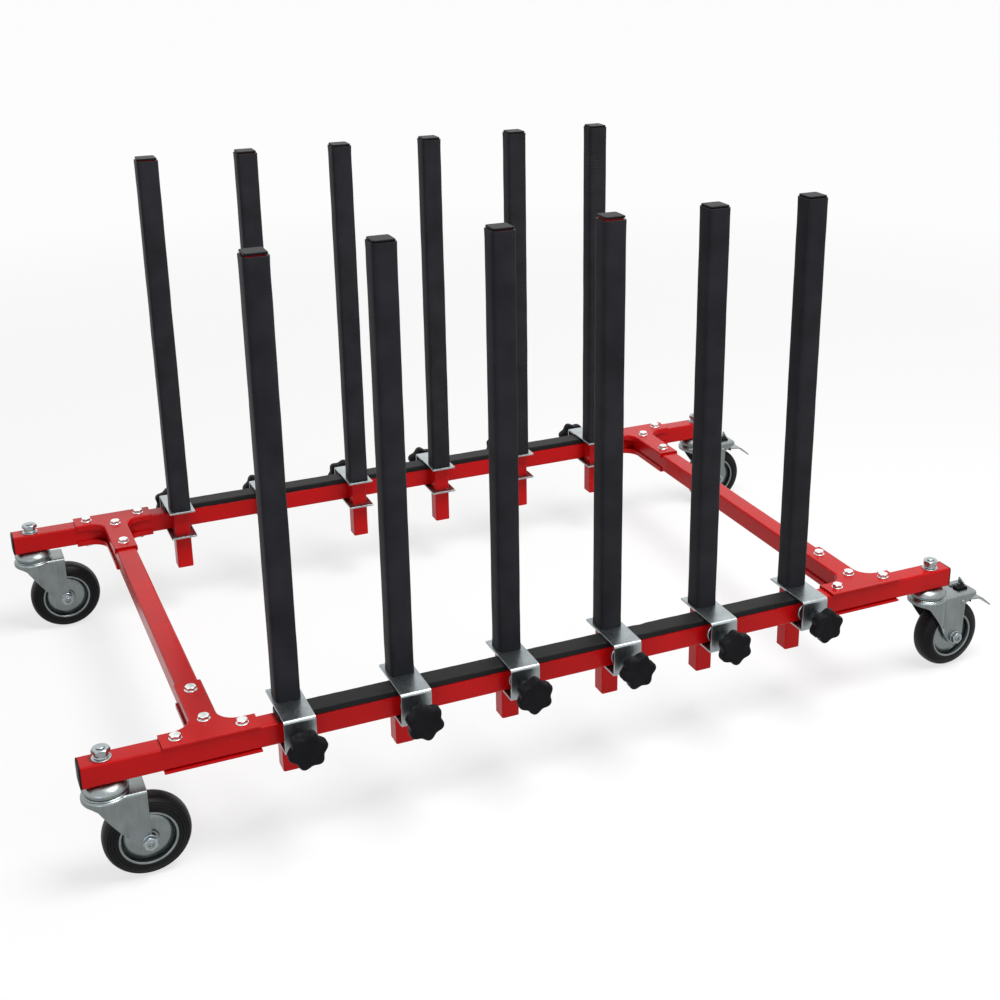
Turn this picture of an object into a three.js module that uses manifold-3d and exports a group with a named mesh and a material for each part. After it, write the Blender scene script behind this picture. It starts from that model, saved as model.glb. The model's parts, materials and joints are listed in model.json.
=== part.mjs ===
// Sheet goods cart: a bolted steel frame on four castors, with sleeved uprights clamped along both side
// rails. Millimetres. +X runs along the side rails towards the braked castors, +Y from the front rail to
// the rear rail, +Z up from the floor.
import * as THREE from 'three';
import { mergeVertices } from 'three/addons/utils/BufferGeometryUtils.js';
import loadManifold from 'manifold-3d';

const wasm = await loadManifold();
wasm.setup();

// Clearances
const seat = 0.2; // between two faces that rest on each other
const slip = 0.3; // round a piece that slides or turns in another
const boltClearance = 0.5; // round a bolt in its hole

// Side rails and cross rails, in one size of square tube
const railSize = 30;
const railWall = 2;
const railCorner = 3;
const railLength = 1280;
const railSpacing = 720; // centre to centre
const crossRailInset = 157; // cross rail centre from the end of a side rail
const endCapThickness = 3;
const endCapDepth = 14;

// T-shaped corner plates, one above and one below each joint of the frame
const platePressing = 3; // sheet thickness
const plateHeadLength = 120;
const plateStemLength = 130; // from the side rail's centre line
const plateLip = 6; // turned edge beside the tubes
const plateLipThickness = 2.5;
const plateFillet = 25;
const headBoltSpacing = 82;
const stemBoltNear = 30; // from the side rail's centre line
const stemBoltFar = 108;

// Bolts of the corner plates
const boltDiameter = 8;
const boltHeadAcross = 13;
const boltHeadHeight = 7; // with its washer
const boltNutHeight = 8; // with its washer

// Rubber strip on each side rail
const padEndGap = 23; // between the strip and a corner plate
const padHeight = 8;
const padCorner = 3;

// Uprights
const uprightsPerRail = 6;
const uprightEndGap = 21; // from the end of the strip to the centre of the last upright
const postSize = 25;
const postWall = 2;
const postCorner = 2.5;
const postBelowRail = 61;
const postRailGap = 0.5;
const sleeveThickness = 3;
const sleeveCorner = 5;
const sleeveTopAboveRail = 584;
const postCapStep = 0.25; // all round, inside the tube
const postCapCorner = 3;
const postCapHeight = 4;

// Clamp bracket of an upright
const bracketWidth = 41;
const bracketSheet = 3;
const bracketBend = 3; // inside radius
const bracketPadGap = 0.9; // under the top flange, above the strip
const bracketDrop = 2; // from the rail's underside to the bottom flange
const bracketToe = 11.5; // of the flanges, beyond the post
const bracketWebGap = 19; // from the rail's outer face to the web

// Star knob with its stud and pressure disc
const knobLobes = 6;
const knobRadius = 25;
const knobScallop = 4.5;
const knobHeadDepth = 18;
const knobBevel = 2.5;
const knobNeckLength = 12;
const knobNeckDiameter = 24;
const knobStandOff = 7; // between the web and the neck
const studDiameter = 8;
const pressureDiscDiameter = 31;
const pressureDiscThickness = 3;

// Castors
const castorTrail = 42;
const wheelHeadroom = 14; // between the tyre and the crown
const stemInset = 28.5; // stem centre from the end of a side rail
const stemDiameter = 12;
const stemNutAcross = 19;
const stemNutHeight = 10;
const stemThreadEnd = 3;
const stemWasherDiameter = 26;
const stemWasherThickness = 2.5;
const raceDiameter = 56;
const raceTopDiameter = 36;
const raceHeight = 11; // fixed upper race under the rail
const swivelPinDiameter = 14;
const swivelHeadDiameter = 22;
const swivelHeadHeight = 3.5;
const forkSheet = 3;
const forkRaceHeight = 5; // from the fixed race to the top of the crown
const forkSideGap = 3; // between the tyre and a leg
const crownRadius = 30; // round front of the crown about the stem
const crownSkirt = 7; // height of the crown's edge at its front
const forkCrownRear = 3; // behind the axle
const forkEndRadius = 13.5; // round end of a fork leg about the axle
const forkLegFront = -14; // upper corner of a leg, from the stem
const forkLegDepth = 12; // of that corner below the top of the crown
const wheelDiameter = 108;
const wheelFacets = 20;
const tyreWidth = 34;
const tyreTread = 18;
const tyreHeight = 19;
const rimWidth = 31;
const discWidth = 20;
const hubDiameter = 24;
const axleDiameter = 10;
const axleNutAcross = 16;
const axleNutHeight = 6;
const frontRightSwivel = 2; // degrees, as the castor stands

// Brake of the two right-hand castors
const brakeCrownRear = 36; // behind the axle, as are the other places along the brake
const brakeCheekHeight = 8;
const brakeCheekFoot = 16;
const brakeCheekDepth = 17; // of the foot below the top of the crown
const brakeWindow = [3, 25]; // opening in the crown
const brakeWindowWidth = 22;
const pedalPivot = 14;
const pedalPivotDepth = 5.5; // below the crown's sheet, as are the knee and the tip
const pedalPinDiameter = 5;
const pedalBarrelDiameter = 9;
const pedalSideGap = 3; // between the pedal and a leg
const pedalSheet = 2.5;
const pedalKnee = 54;
const pedalKneeDepth = 18;
const pedalTip = 76;
const pedalTipDepth = 36;
const brakeShoe = [19, 30];
const brakeShoeGap = 5.2; // shoe to tyre with the brake off

// Places worked out from the sizes above, measured from the underside of the rail or from its centre line
const railHalf = railSize / 2;
const padTop = railSize + seat + padHeight;
const plateHalfWidth = railHalf + slip + plateLipThickness;
const postOffset = railHalf + postRailGap + postSize / 2;
const bracketReach = postOffset + postSize / 2 + bracketToe;
const sleeveSize = postSize + 2 * sleeveThickness;
const postTop = railSize + sleeveTopAboveRail;
const flangeUnder = padTop + bracketPadGap;
const bracketTop = flangeUnder + bracketSheet;
const bracketBottom = -bracketDrop - bracketSheet;
const webInside = -railHalf - bracketWebGap;
const webOutside = webInside - bracketSheet;
const forkInsideWidth = tyreWidth + 2 * forkSideGap;
const forkWidth = forkInsideWidth + 2 * forkSheet;
const crownTop = -raceHeight - forkRaceHeight;
const crownUnder = crownTop - forkSheet;
const axleDrop = crownUnder - wheelHeadroom - wheelDiameter / 2;
const castorHeight = wheelDiameter / 2 - axleDrop; // floor to the underside of the rail
const pedalPin = [castorTrail + pedalPivot, crownUnder - pedalPivotDepth];
const stemX = railLength / 2 - stemInset;
const crossRailX = railLength / 2 - crossRailInset;
const padLength = 2 * (crossRailX - plateHeadLength / 2 - padEndGap);
const uprightPitch = (padLength - 2 * uprightEndGap) / (uprightsPerRail - 1);

// Finishes
function finish(color, roughness, metalness) {
  return new THREE.MeshStandardMaterial({ color, roughness, metalness });
}
const redPaint = finish('#b01517', 0.35, 0.1);
const zinc = finish('#b4b8ba', 0.35, 0.9);
const blackRubber = finish('#232325', 0.75, 0);
const blackPlastic = finish('#1b1b1d', 0.5, 0);

// Swaps axes so that a shape drawn as (Y, Z) is extruded along +X
const towardsX = new THREE.Matrix4().set(0, 0, 1, 0, 1, 0, 0, 0, 0, 1, 0, 0, 0, 0, 0, 1);
// Turns a shape drawn as (X, Z) so that it is extruded along -Y
const towardsMinusY = new THREE.Matrix4().set(1, 0, 0, 0, 0, 0, -1, 0, 0, 1, 0, 0, 0, 0, 0, 1);

// Makes a closed geometry into a solid that can be joined and cut
function solid(geometry) {
  const bare = geometry.clone();
  bare.deleteAttribute('normal');
  bare.deleteAttribute('uv');
  const merged = mergeVertices(bare, 1e-4);
  const vertProperties = new Float32Array(merged.attributes.position.array);
  const triVerts = new Uint32Array(merged.index.array);
  return new wasm.Manifold(new wasm.Mesh({ numProp: 3, vertProperties, triVerts }));
}

function join(...solids) {
  return solids.reduce((whole, piece) => whole.add(piece));
}

function cut(body, ...tools) {
  return tools.reduce((rest, tool) => rest.subtract(tool), body);
}

// Gives a solid back as a named mesh
function mesh(name, body, material) {
  const data = body.getMesh();
  const geometry = new THREE.BufferGeometry();
  geometry.setAttribute('position', new THREE.BufferAttribute(new Float32Array(data.vertProperties), 3));
  geometry.setIndex(new THREE.BufferAttribute(new Uint32Array(data.triVerts), 1));
  geometry.computeVertexNormals();
  const piece = new THREE.Mesh(geometry, material);
  piece.name = name;
  return piece;
}

// A square with rounded corners about the origin
function roundedSquare(size, corner) {
  const flat = size / 2 - corner;
  const shape = new THREE.Shape();
  shape.moveTo(flat, -size / 2);
  shape.absarc(flat, -flat, corner, -Math.PI / 2, 0);
  shape.absarc(flat, flat, corner, 0, Math.PI / 2);
  shape.absarc(-flat, flat, corner, Math.PI / 2, Math.PI);
  shape.absarc(-flat, -flat, corner, Math.PI, 1.5 * Math.PI);
  return shape;
}

function polygon(points) {
  return new THREE.Shape(points.map(([u, v]) => new THREE.Vector2(u, v)));
}

function extrude(shape, depth, curveSegments = 1) {
  return new THREE.ExtrudeGeometry(shape, { depth, curveSegments, bevelEnabled: false });
}

// A box given by its lowest and highest corners
function box(low, high) {
  const size = high.map((value, axis) => value - low[axis]);
  const middle = high.map((value, axis) => (value + low[axis]) / 2);
  return solid(new THREE.BoxGeometry(...size).translate(...middle));
}

// Upright and cross-wise round bars, from one end to the other
function barZ(diameter, from, to, sides, x = 0, y = 0) {
  const bar = new THREE.CylinderGeometry(diameter / 2, diameter / 2, to - from, sides);
  return solid(bar.rotateX(Math.PI / 2).translate(x, y, (from + to) / 2));
}

function barY(diameter, from, to, sides, x = 0, z = 0) {
  const bar = new THREE.CylinderGeometry(diameter / 2, diameter / 2, to - from, sides);
  return solid(bar.translate(x, (from + to) / 2, z));
}

// Diameter over the corners of a bar or hole with flat sides, a hexagon unless another count is given
const overCorners = (across, sides = 6) => across / Math.cos(Math.PI / sides);

// Square tube along X about its own centre line, with upright holes through both walls
function squareTube(length, holes) {
  const section = roundedSquare(railSize, railCorner);
  section.holes.push(roundedSquare(railSize - 2 * railWall, railCorner - railWall));
  const tube = extrude(section, length).translate(0, 0, -length / 2).applyMatrix4(towardsX);
  const drills = holes.map(([x, diameter]) => barZ(overCorners(diameter), -railSize, railSize, 6, x));
  return cut(solid(tube), ...drills);
}

// Plastic plug of a tube end, pointing to -X from the end at the origin
function endCap() {
  const flange = extrude(roundedSquare(railSize, railCorner), endCapThickness);
  flange.translate(0, 0, -endCapThickness).applyMatrix4(towardsX);
  const inside = railSize - 2 * railWall;
  const plug = extrude(roundedSquare(inside, railCorner - railWall), endCapDepth).applyMatrix4(towardsX);
  return join(solid(flange), solid(plug));
}

function sideRail() {
  const bolt = boltDiameter + 2 * boltClearance;
  const stem = stemDiameter + 2 * boltClearance;
  const holes = [-1, 1].flatMap((end) => [
    [end * stemX, stem],
    [end * crossRailX - headBoltSpacing / 2, bolt],
    [end * crossRailX + headBoltSpacing / 2, bolt],
  ]);
  const tubeLength = railLength - 2 * endCapThickness;
  const left = endCap().translate([-tubeLength / 2, 0, 0]);
  const right = left.mirror([1, 0, 0]);
  return join(squareTube(tubeLength, holes), left, right);
}

function crossRail() {
  const bolt = boltDiameter + 2 * boltClearance;
  const length = railSpacing - railSize - 2 * slip;
  const places = [stemBoltNear, stemBoltFar].map((fromRail) => railSpacing / 2 - fromRail);
  return squareTube(length, places.flatMap((place) => [[-place, bolt], [place, bolt]]));
}

// T-shaped outline with a head along X and a stem along +Y
function teeOutline(halfWidth, headEnd, stemEnd, fillet) {
  const shape = new THREE.Shape();
  shape.moveTo(-headEnd, -halfWidth);
  shape.lineTo(headEnd, -halfWidth);
  shape.lineTo(headEnd, halfWidth);
  shape.lineTo(halfWidth + fillet, halfWidth);
  shape.absarc(halfWidth + fillet, halfWidth + fillet, fillet, -Math.PI / 2, -Math.PI, true);
  shape.lineTo(halfWidth, stemEnd);
  shape.lineTo(-halfWidth, stemEnd);
  shape.lineTo(-halfWidth, halfWidth + fillet);
  shape.absarc(-halfWidth - fillet, halfWidth + fillet, fillet, 0, -Math.PI / 2, true);
  shape.lineTo(-headEnd, halfWidth);
  return shape;
}

// Pressed plate above the rails' centre plane, with its edges turned down beside the tubes
function teePlate() {
  const under = railHalf + seat;
  const headEnd = plateHeadLength / 2;
  const overrun = 1;
  const edge = teeOutline(plateHalfWidth, headEnd, plateStemLength, plateFillet);
  const outside = extrude(edge, platePressing + plateLip);
  const channelHalf = plateHalfWidth - plateLipThickness;
  const channelFillet = plateFillet + plateLipThickness;
  const channel = teeOutline(channelHalf, headEnd + overrun, plateStemLength + overrun, channelFillet);
  const pocket = extrude(channel, plateLip + overrun).translate(0, 0, -overrun);
  return cut(solid(outside), solid(pocket)).translate([0, 0, under - plateLip]);
}

// Bolt with its nut, through both plates, about the rails' centre plane
function plateBolt(x, y) {
  const face = railHalf + seat + platePressing;
  const sink = 0.5;
  return join(
    barZ(overCorners(boltHeadAcross), face - sink, face + boltHeadHeight, 6, x, y),
    barZ(boltDiameter, -face, face, 6, x, y),
    barZ(overCorners(boltHeadAcross), -face - boltNutHeight, sink - face, 6, x, y),
  );
}

// Both plates of one frame corner, held together by their four bolts
function cornerPlates() {
  const upper = teePlate();
  const lower = upper.mirror([0, 0, 1]);
  const places = [[-headBoltSpacing / 2, 0], [headBoltSpacing / 2, 0], [0, stemBoltNear], [0, stemBoltFar]];
  return join(upper, lower, ...places.map(([x, y]) => plateBolt(x, y)));
}

// Rubber strip with rounded upper edges, seated on the rail's top face
function railPad() {
  const shape = new THREE.Shape();
  const flat = railHalf - padCorner;
  shape.moveTo(-railHalf, 0);
  shape.lineTo(railHalf, 0);
  shape.absarc(flat, padHeight - padCorner, padCorner, 0, Math.PI / 2);
  shape.absarc(-flat, padHeight - padCorner, padCorner, Math.PI / 2, Math.PI);
  const strip = extrude(shape, padLength).translate(0, 0, -padLength / 2).applyMatrix4(towardsX);
  return solid(strip);
}

// Tube, sleeve and end cap of one upright, standing on the post's own centre line
function post() {
  const tube = extrude(roundedSquare(postSize, postCorner), postTop + postBelowRail);
  tube.translate(0, 0, -postBelowRail);
  const bore = postSize / 2 - postWall;
  const hollow = box([-bore, -bore, -postBelowRail - 1], [bore, bore, postTop - postWall]);
  const sleeveFoot = bracketTop + seat;
  const sleeve = extrude(roundedSquare(sleeveSize, sleeveCorner), postTop - sleeveFoot);
  sleeve.translate(0, 0, sleeveFoot);
  const cap = extrude(roundedSquare(postSize - 2 * postCapStep, postCapCorner), postCapHeight);
  cap.translate(0, 0, postTop);
  return cut(join(solid(tube), solid(sleeve), solid(cap)), hollow);
}

// C-shaped clamp bracket: two flanges with square holes for the post, joined by the web outside the rail
function clampBracket() {
  const outer = bracketBend + bracketSheet;
  const top = bracketTop - outer;
  const bottom = bracketBottom + outer;
  const middle = webOutside + outer;
  const profile = new THREE.Shape();
  profile.moveTo(bracketReach, bracketTop);
  profile.lineTo(middle, bracketTop);
  profile.absarc(middle, top, outer, Math.PI / 2, Math.PI);
  profile.absarc(middle, bottom, outer, Math.PI, 1.5 * Math.PI);
  profile.lineTo(bracketReach, bracketBottom);
  profile.lineTo(bracketReach, bracketBottom + bracketSheet);
  profile.absarc(middle, bottom, bracketBend, 1.5 * Math.PI, Math.PI, true);
  profile.absarc(middle, top, bracketBend, Math.PI, Math.PI / 2, true);
  profile.lineTo(bracketReach, flangeUnder);
  const sheet = extrude(profile, bracketWidth).translate(0, 0, -bracketWidth / 2).applyMatrix4(towardsX);
  const hole = postSize / 2 + slip;
  const overrun = 1;
  const window = box(
    [-hole, postOffset - hole, bracketBottom - overrun],
    [hole, postOffset + hole, bracketTop + overrun],
  );
  const holeSides = 8;
  const studClear = overCorners(studDiameter + 2 * slip, holeSides);
  const studHole = barY(studClear, webOutside - overrun, webInside + overrun, holeSides, 0, railHalf);
  return cut(solid(sheet), window, studHole);
}

// Outline of the knob's head: a circle with a scallop between each pair of lobes
function knobOutline() {
  const perLobe = 3;
  const count = knobLobes * perLobe;
  const points = [];
  for (let i = 0; i < count; i += 1) {
    const angle = (2 * Math.PI * i) / count;
    const radius = knobRadius - (knobScallop * (1 - Math.cos(knobLobes * angle))) / 2;
    points.push([radius * Math.cos(angle), radius * Math.sin(angle)]);
  }
  return polygon(points);
}

// Star knob on its stud, with the pressure disc that bears on the rail; the axis is the rail's centre height
function starKnob() {
  const discFace = -railHalf - slip;
  const discBack = discFace - pressureDiscThickness;
  const neckStart = webOutside - knobStandOff;
  const headStart = neckStart - knobNeckLength;
  const sink = 0.5;
  const head = new THREE.ExtrudeGeometry(knobOutline(), {
    depth: knobHeadDepth - 2 * knobBevel,
    bevelThickness: knobBevel,
    bevelSize: knobBevel,
    bevelOffset: -knobBevel,
    bevelSegments: 1,
  });
  head.applyMatrix4(towardsMinusY).translate(0, headStart - knobBevel, 0);
  return join(
    solid(head),
    barY(knobNeckDiameter, headStart - sink, neckStart, 8),
    barY(studDiameter, neckStart - sink, discBack + sink, 6),
    barY(pressureDiscDiameter, discBack, discFace, 10),
  );
}

// A solid turned about the Z axis from a profile of (radius, height) points that starts and ends on the axis
function turned(profile, sides) {
  const points = profile.map(([radius, height]) => new THREE.Vector2(radius, height));
  return solid(new THREE.LatheGeometry(points, sides).rotateX(Math.PI / 2));
}

// Stem of a castor with the fixed race, the nut on the rail and the head that holds the fork
function castorStem() {
  const head = crownUnder - slip;
  const pin = swivelPinDiameter / 2;
  const washer = railSize + seat;
  const nut = washer + stemWasherThickness;
  const thread = nut + stemNutHeight;
  const sink = 0.5;
  const race = turned(
    [
      [0, head - swivelHeadHeight],
      [swivelHeadDiameter / 2, head - swivelHeadHeight],
      [swivelHeadDiameter / 2, head],
      [pin, head],
      [pin, -raceHeight],
      [raceDiameter / 2, -raceHeight],
      [raceDiameter / 2, 3 - raceHeight],
      [raceTopDiameter / 2, -seat],
      [0, -seat],
    ],
    10,
  );
  return join(
    race,
    barZ(stemDiameter, -seat - sink, thread + stemThreadEnd, 8),
    barZ(stemWasherDiameter, washer, nut, 10),
    barZ(overCorners(stemNutAcross), nut - sink, thread, 6),
  );
}

// Angle on a circle where a line from an outside point touches it; side is 1 or -1
function touchAngle([x, z], [cx, cz], radius, side) {
  const towards = Math.atan2(cz - z, cx - x);
  const distance = Math.hypot(cx - x, cz - z);
  return towards + side * (Math.PI / 2 + Math.asin(radius / distance));
}

// Side view of a fork: the crown's skirt and the legs down to their round ends about the axle
function forkOutline(braked) {
  const axle = [castorTrail, axleDrop];
  const rear = castorTrail + (braked ? brakeCrownRear : forkCrownRear);
  const cheekFoot = [castorTrail + brakeCheekFoot, crownTop - brakeCheekDepth];
  const legTop = braked ? cheekFoot : [rear, crownTop];
  const legFront = [forkLegFront, crownTop - forkLegDepth];
  const outline = new THREE.Shape();
  outline.moveTo(-crownRadius, crownTop);
  outline.lineTo(rear, crownTop);
  if (braked) {
    outline.lineTo(rear, crownTop - brakeCheekHeight);
    outline.lineTo(...cheekFoot);
  }
  const from = touchAngle(legTop, axle, forkEndRadius, 1);
  const to = touchAngle(legFront, axle, forkEndRadius, -1);
  outline.absarc(...axle, forkEndRadius, from, to, true);
  outline.lineTo(...legFront);
  outline.lineTo(-crownRadius, crownTop - crownSkirt);
  return outline;
}

// Upright block with the plan of the crown: a round front about the stem, then straight sides
function crownBlock(radius, width, rear, low, high) {
  return join(barZ(2 * radius, low, high, 20), box([0, -width / 2, low], [rear, width / 2, high]));
}

// Pressed fork with its race, axle and, on a braked castor, the window and pin of the brake
function castorFork(braked) {
  const side = extrude(forkOutline(braked), 2 * crownRadius, 2).applyMatrix4(towardsMinusY);
  side.translate(0, crownRadius, 0);
  const below = -castorHeight;
  const outside = crownBlock(crownRadius, forkWidth, castorHeight, below, 0);
  const inside = crownBlock(crownRadius - forkSheet, forkInsideWidth, castorHeight, below, crownUnder);
  const shell = cut(solid(side).intersect(outside), inside);
  const race = barZ(raceDiameter - 2, crownUnder, -raceHeight - slip, 10);
  const holeSides = 10;
  const pinHole = barZ(overCorners(swivelPinDiameter + 2 * slip, holeSides), below, 0, holeSides);
  const nutFace = forkWidth / 2 + axleNutHeight;
  const sink = 0.5;
  const axle = join(
    barY(axleDiameter, -forkWidth / 2, forkWidth / 2, 8, castorTrail, axleDrop),
    barY(overCorners(axleNutAcross), -nutFace, sink - forkWidth / 2, 6, castorTrail, axleDrop),
    barY(overCorners(axleNutAcross), forkWidth / 2 - sink, nutFace, 6, castorTrail, axleDrop),
  );
  const fork = join(cut(join(shell, race), pinHole), axle);
  if (!braked) {
    return fork;
  }
  const window = box(
    [castorTrail + brakeWindow[0], -brakeWindowWidth / 2, crownUnder - 1],
    [castorTrail + brakeWindow[1], brakeWindowWidth / 2, crownTop + 1],
  );
  const pin = barY(pedalPinDiameter, -forkWidth / 2, forkWidth / 2, 8, ...pedalPin);
  return join(cut(fork, window), pin);
}

// Rubber-tyred disc wheel about its axle, with a flat facet of the tread on the floor
function castorWheel() {
  const facet = Math.PI / wheelFacets;
  const tread = wheelDiameter / 2 / Math.cos(facet);
  const bore = axleDiameter / 2 + slip;
  const rim = wheelDiameter / 2 - tyreHeight;
  const hub = forkInsideWidth / 2 - 1.5;
  const half = [
    [bore, hub],
    [hubDiameter / 2, hub],
    [hubDiameter / 2 + 2, discWidth / 2],
    [rim, rimWidth / 2],
    [rim + tyreHeight / 2, tyreWidth / 2],
    [tread, tyreTread / 2],
  ];
  const profile = [...half.map(([radius, y]) => [radius, -y]), ...half.reverse()];
  const points = [...profile, profile[0]].map(([radius, y]) => new THREE.Vector2(radius, y));
  return solid(new THREE.LatheGeometry(points, wheelFacets).rotateY(facet));
}

// Height of the tyre at a place along the fork
function tyreTop(x) {
  const radius = wheelDiameter / 2 / Math.cos(Math.PI / wheelFacets);
  return axleDrop + Math.sqrt(radius ** 2 - (x - castorTrail) ** 2);
}

// Brake pedal: a sheet lever on a barrel about its pin, with the shoe above the tyre
function brakePedal() {
  const [px, pz] = pedalPin;
  const knee = [castorTrail + pedalKnee, crownUnder - pedalKneeDepth];
  const tip = [castorTrail + pedalTip, crownUnder - pedalTipDepth];
  const [shoeFront, shoeRear] = brakeShoe.map((behind) => castorTrail + behind);
  const half = forkInsideWidth / 2 - pedalSideGap;
  const leverAt = (x) => pz + ((knee[1] - pz) * (x - px)) / (knee[0] - px) + pedalSheet / 2;
  const lever = polygon([
    [px, pz],
    knee,
    tip,
    [tip[0], tip[1] + pedalSheet],
    [knee[0], knee[1] + pedalSheet],
    [px, pz + pedalSheet],
  ]);
  const shoe = polygon([
    [shoeFront, tyreTop(shoeFront) + brakeShoeGap],
    [shoeRear, tyreTop(shoeRear) + brakeShoeGap],
    [shoeRear, leverAt(shoeRear)],
    [shoeFront, leverAt(shoeFront)],
  ]);
  const across = (shape) => solid(extrude(shape, 2 * half).applyMatrix4(towardsMinusY).translate(0, half, 0));
  const barrel = barY(pedalBarrelDiameter, -half, half, 12, px, pz);
  const bore = barY(pedalPinDiameter + 2 * slip, -forkWidth, forkWidth, 10, px, pz);
  return cut(join(across(lever), across(shoe), barrel), bore);
}

// Assembly
const cart = new THREE.Group();
const railZ = castorHeight;
const sides = [
  { side: 'front', y: -railSpacing / 2, turn: 0 },
  { side: 'rear', y: railSpacing / 2, turn: Math.PI },
];
const ends = [
  { end: 'left', sign: -1, braked: false },
  { end: 'right', sign: 1, braked: true },
];

function place(piece, x, y, z, turn = 0) {
  piece.position.set(x, y, z);
  piece.rotation.z = turn;
  cart.add(piece);
}

const railSolid = sideRail();
const crossSolid = crossRail();
const cornerSolid = cornerPlates();
const padSolid = railPad();
const postSolid = post();
const bracketSolid = clampBracket();
const knobSolid = starKnob();
const stemSolid = castorStem();
const wheelSolid = castorWheel();

for (const { side, y, turn } of sides) {
  place(mesh(`${side}_side_rail`, railSolid, redPaint), 0, y, railZ + railHalf);
  place(mesh(`${side}_rail_pad`, padSolid, blackRubber), 0, y, railZ + railSize + seat);
  for (let i = 0; i < uprightsPerRail; i += 1) {
    const upright = new THREE.Group();
    const number = i + 1;
    const postMesh = mesh(`${side}_post_${number}`, postSolid, blackRubber);
    postMesh.position.y = postOffset;
    const knobMesh = mesh(`${side}_star_knob_${number}`, knobSolid, blackPlastic);
    knobMesh.position.z = railHalf;
    upright.add(postMesh, mesh(`${side}_clamp_bracket_${number}`, bracketSolid, zinc), knobMesh);
    place(upright, (i - (uprightsPerRail - 1) / 2) * uprightPitch, y, railZ, turn);
  }
}

for (const { end, sign, braked } of ends) {
  place(mesh(`${end}_cross_rail`, crossSolid, redPaint), sign * crossRailX, 0, railZ + railHalf, Math.PI / 2);
  for (const { side, y, turn } of sides) {
    const corner = mesh(`${side}_${end}_corner_plates`, cornerSolid, redPaint);
    place(corner, sign * crossRailX, y, railZ + railHalf, turn);
    place(mesh(`${side}_${end}_castor_stem`, stemSolid, zinc), sign * stemX, y, railZ);
    const swivel = new THREE.Group();
    const wheel = mesh(`${side}_${end}_castor_wheel`, wheelSolid, blackRubber);
    wheel.position.set(castorTrail, 0, axleDrop);
    swivel.add(mesh(`${side}_${end}_castor_fork`, castorFork(braked), zinc), wheel);
    if (braked) {
      swivel.add(mesh(`${side}_${end}_brake_pedal`, brakePedal(), zinc));
    }
    const stands = side === 'front' && braked ? frontRightSwivel : 0;
    place(swivel, sign * stemX, y, railZ, THREE.MathUtils.degToRad(stands));
  }
}

// The origin is on the floor below the middle of the whole cart
cart.updateMatrixWorld(true);
const extent = new THREE.Box3().setFromObject(cart, true);
cart.position.x = -(extent.min.x + extent.max.x) / 2;
cart.position.y = -(extent.min.y + extent.max.y) / 2;

export default cart;
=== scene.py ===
import json
import math

import bmesh
import bpy
from mathutils import Matrix, Vector


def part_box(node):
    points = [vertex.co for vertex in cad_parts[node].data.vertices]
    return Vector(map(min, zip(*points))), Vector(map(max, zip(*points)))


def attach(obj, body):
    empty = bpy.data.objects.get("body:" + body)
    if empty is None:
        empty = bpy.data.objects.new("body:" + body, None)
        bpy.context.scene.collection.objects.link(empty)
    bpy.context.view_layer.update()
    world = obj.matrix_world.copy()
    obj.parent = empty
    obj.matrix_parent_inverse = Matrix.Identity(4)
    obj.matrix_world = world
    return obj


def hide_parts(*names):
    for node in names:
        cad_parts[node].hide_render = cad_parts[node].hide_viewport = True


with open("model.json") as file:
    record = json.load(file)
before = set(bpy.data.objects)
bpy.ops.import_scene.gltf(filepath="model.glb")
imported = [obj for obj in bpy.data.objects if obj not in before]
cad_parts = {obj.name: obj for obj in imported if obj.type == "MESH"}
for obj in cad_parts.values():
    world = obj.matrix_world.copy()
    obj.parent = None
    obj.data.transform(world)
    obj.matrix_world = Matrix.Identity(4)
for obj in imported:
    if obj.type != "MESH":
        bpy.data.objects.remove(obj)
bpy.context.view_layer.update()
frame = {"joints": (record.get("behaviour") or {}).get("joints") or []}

bl_info = {
    "name": "Sheet goods cart",
    "version": (1, 0, 0),
    "blender": (4, 5, 0),
    "location": "View3D > Sidebar > Cart",
    "description": "Models a workshop cart with padded uprights clamped along its side rails",
    "category": "Object",
}

MM = 0.001
X, Y, Z = range(3)
SIDES = {"front": 0.0, "rear": math.pi}  # turn of what is fixed to each side rail
ENDS = {"left": 0.0, "right": math.pi}  # turn of the plug in each end of a side rail
CORNERS = [(side, end) for side in SIDES for end in ENDS]
UPRIGHTS = [(side, number) for side in SIDES for number in range(1, 7)]

# Turn of each star knob on its stud, front rail then rear rail, in degrees
KNOB_TURNS = {
    "front": (12, 40, 25, 8, 33, 18),
    "rear": (30, 5, 47, 20, 38, 11),
}
# How far each foam sleeve stops short of the top of its tube, in millimetres
SLEEVE_DROPS = {
    "front": (1.6, 0.3, 0.7, 2.2, 0.1, 0.3),
    "rear": (1.2, 0.8, 0.2, 0.1, 0.3, 0.1),
}
# Joint of each rubber strip's two lengths, from its middle, in millimetres
STRIP_JOINTS = {"front": 120, "rear": -60}
# First seeds of the unevenness of the strips and of the rear rail's sleeves
STRIP_SEED, REAR_SEED = 3, 10

# Softboxes: name, place in metres, width in metres, power in watts and colour
LAMPS = (
    ("top", (0.6, -0.9, 3.2), 1.6, 112, "#ffffff"),
    ("key", (-1.4, -3.0, 2.0), 1.8, 4, "#ffffff"),
    ("left", (-2.4, -2.6, 1.0), 1.0, 15, "#cfdcff"),
)
LAMPS_AIM = Vector((0, 0, 0.3))
# Camera: angles in degrees, distance in metres, and the point it looks at in millimetres from the rails' middle
CAMERA_AZIMUTH, CAMERA_ELEVATION, CAMERA_ROLL = -25.375, 20.064, 0.09
CAMERA_REACH = 2.3354
CAMERA_AIM = (181.3, 212.5)
CAMERA_LENS, CAMERA_SHIFT = 53.563, (-0.0734, -0.0771)


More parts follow.
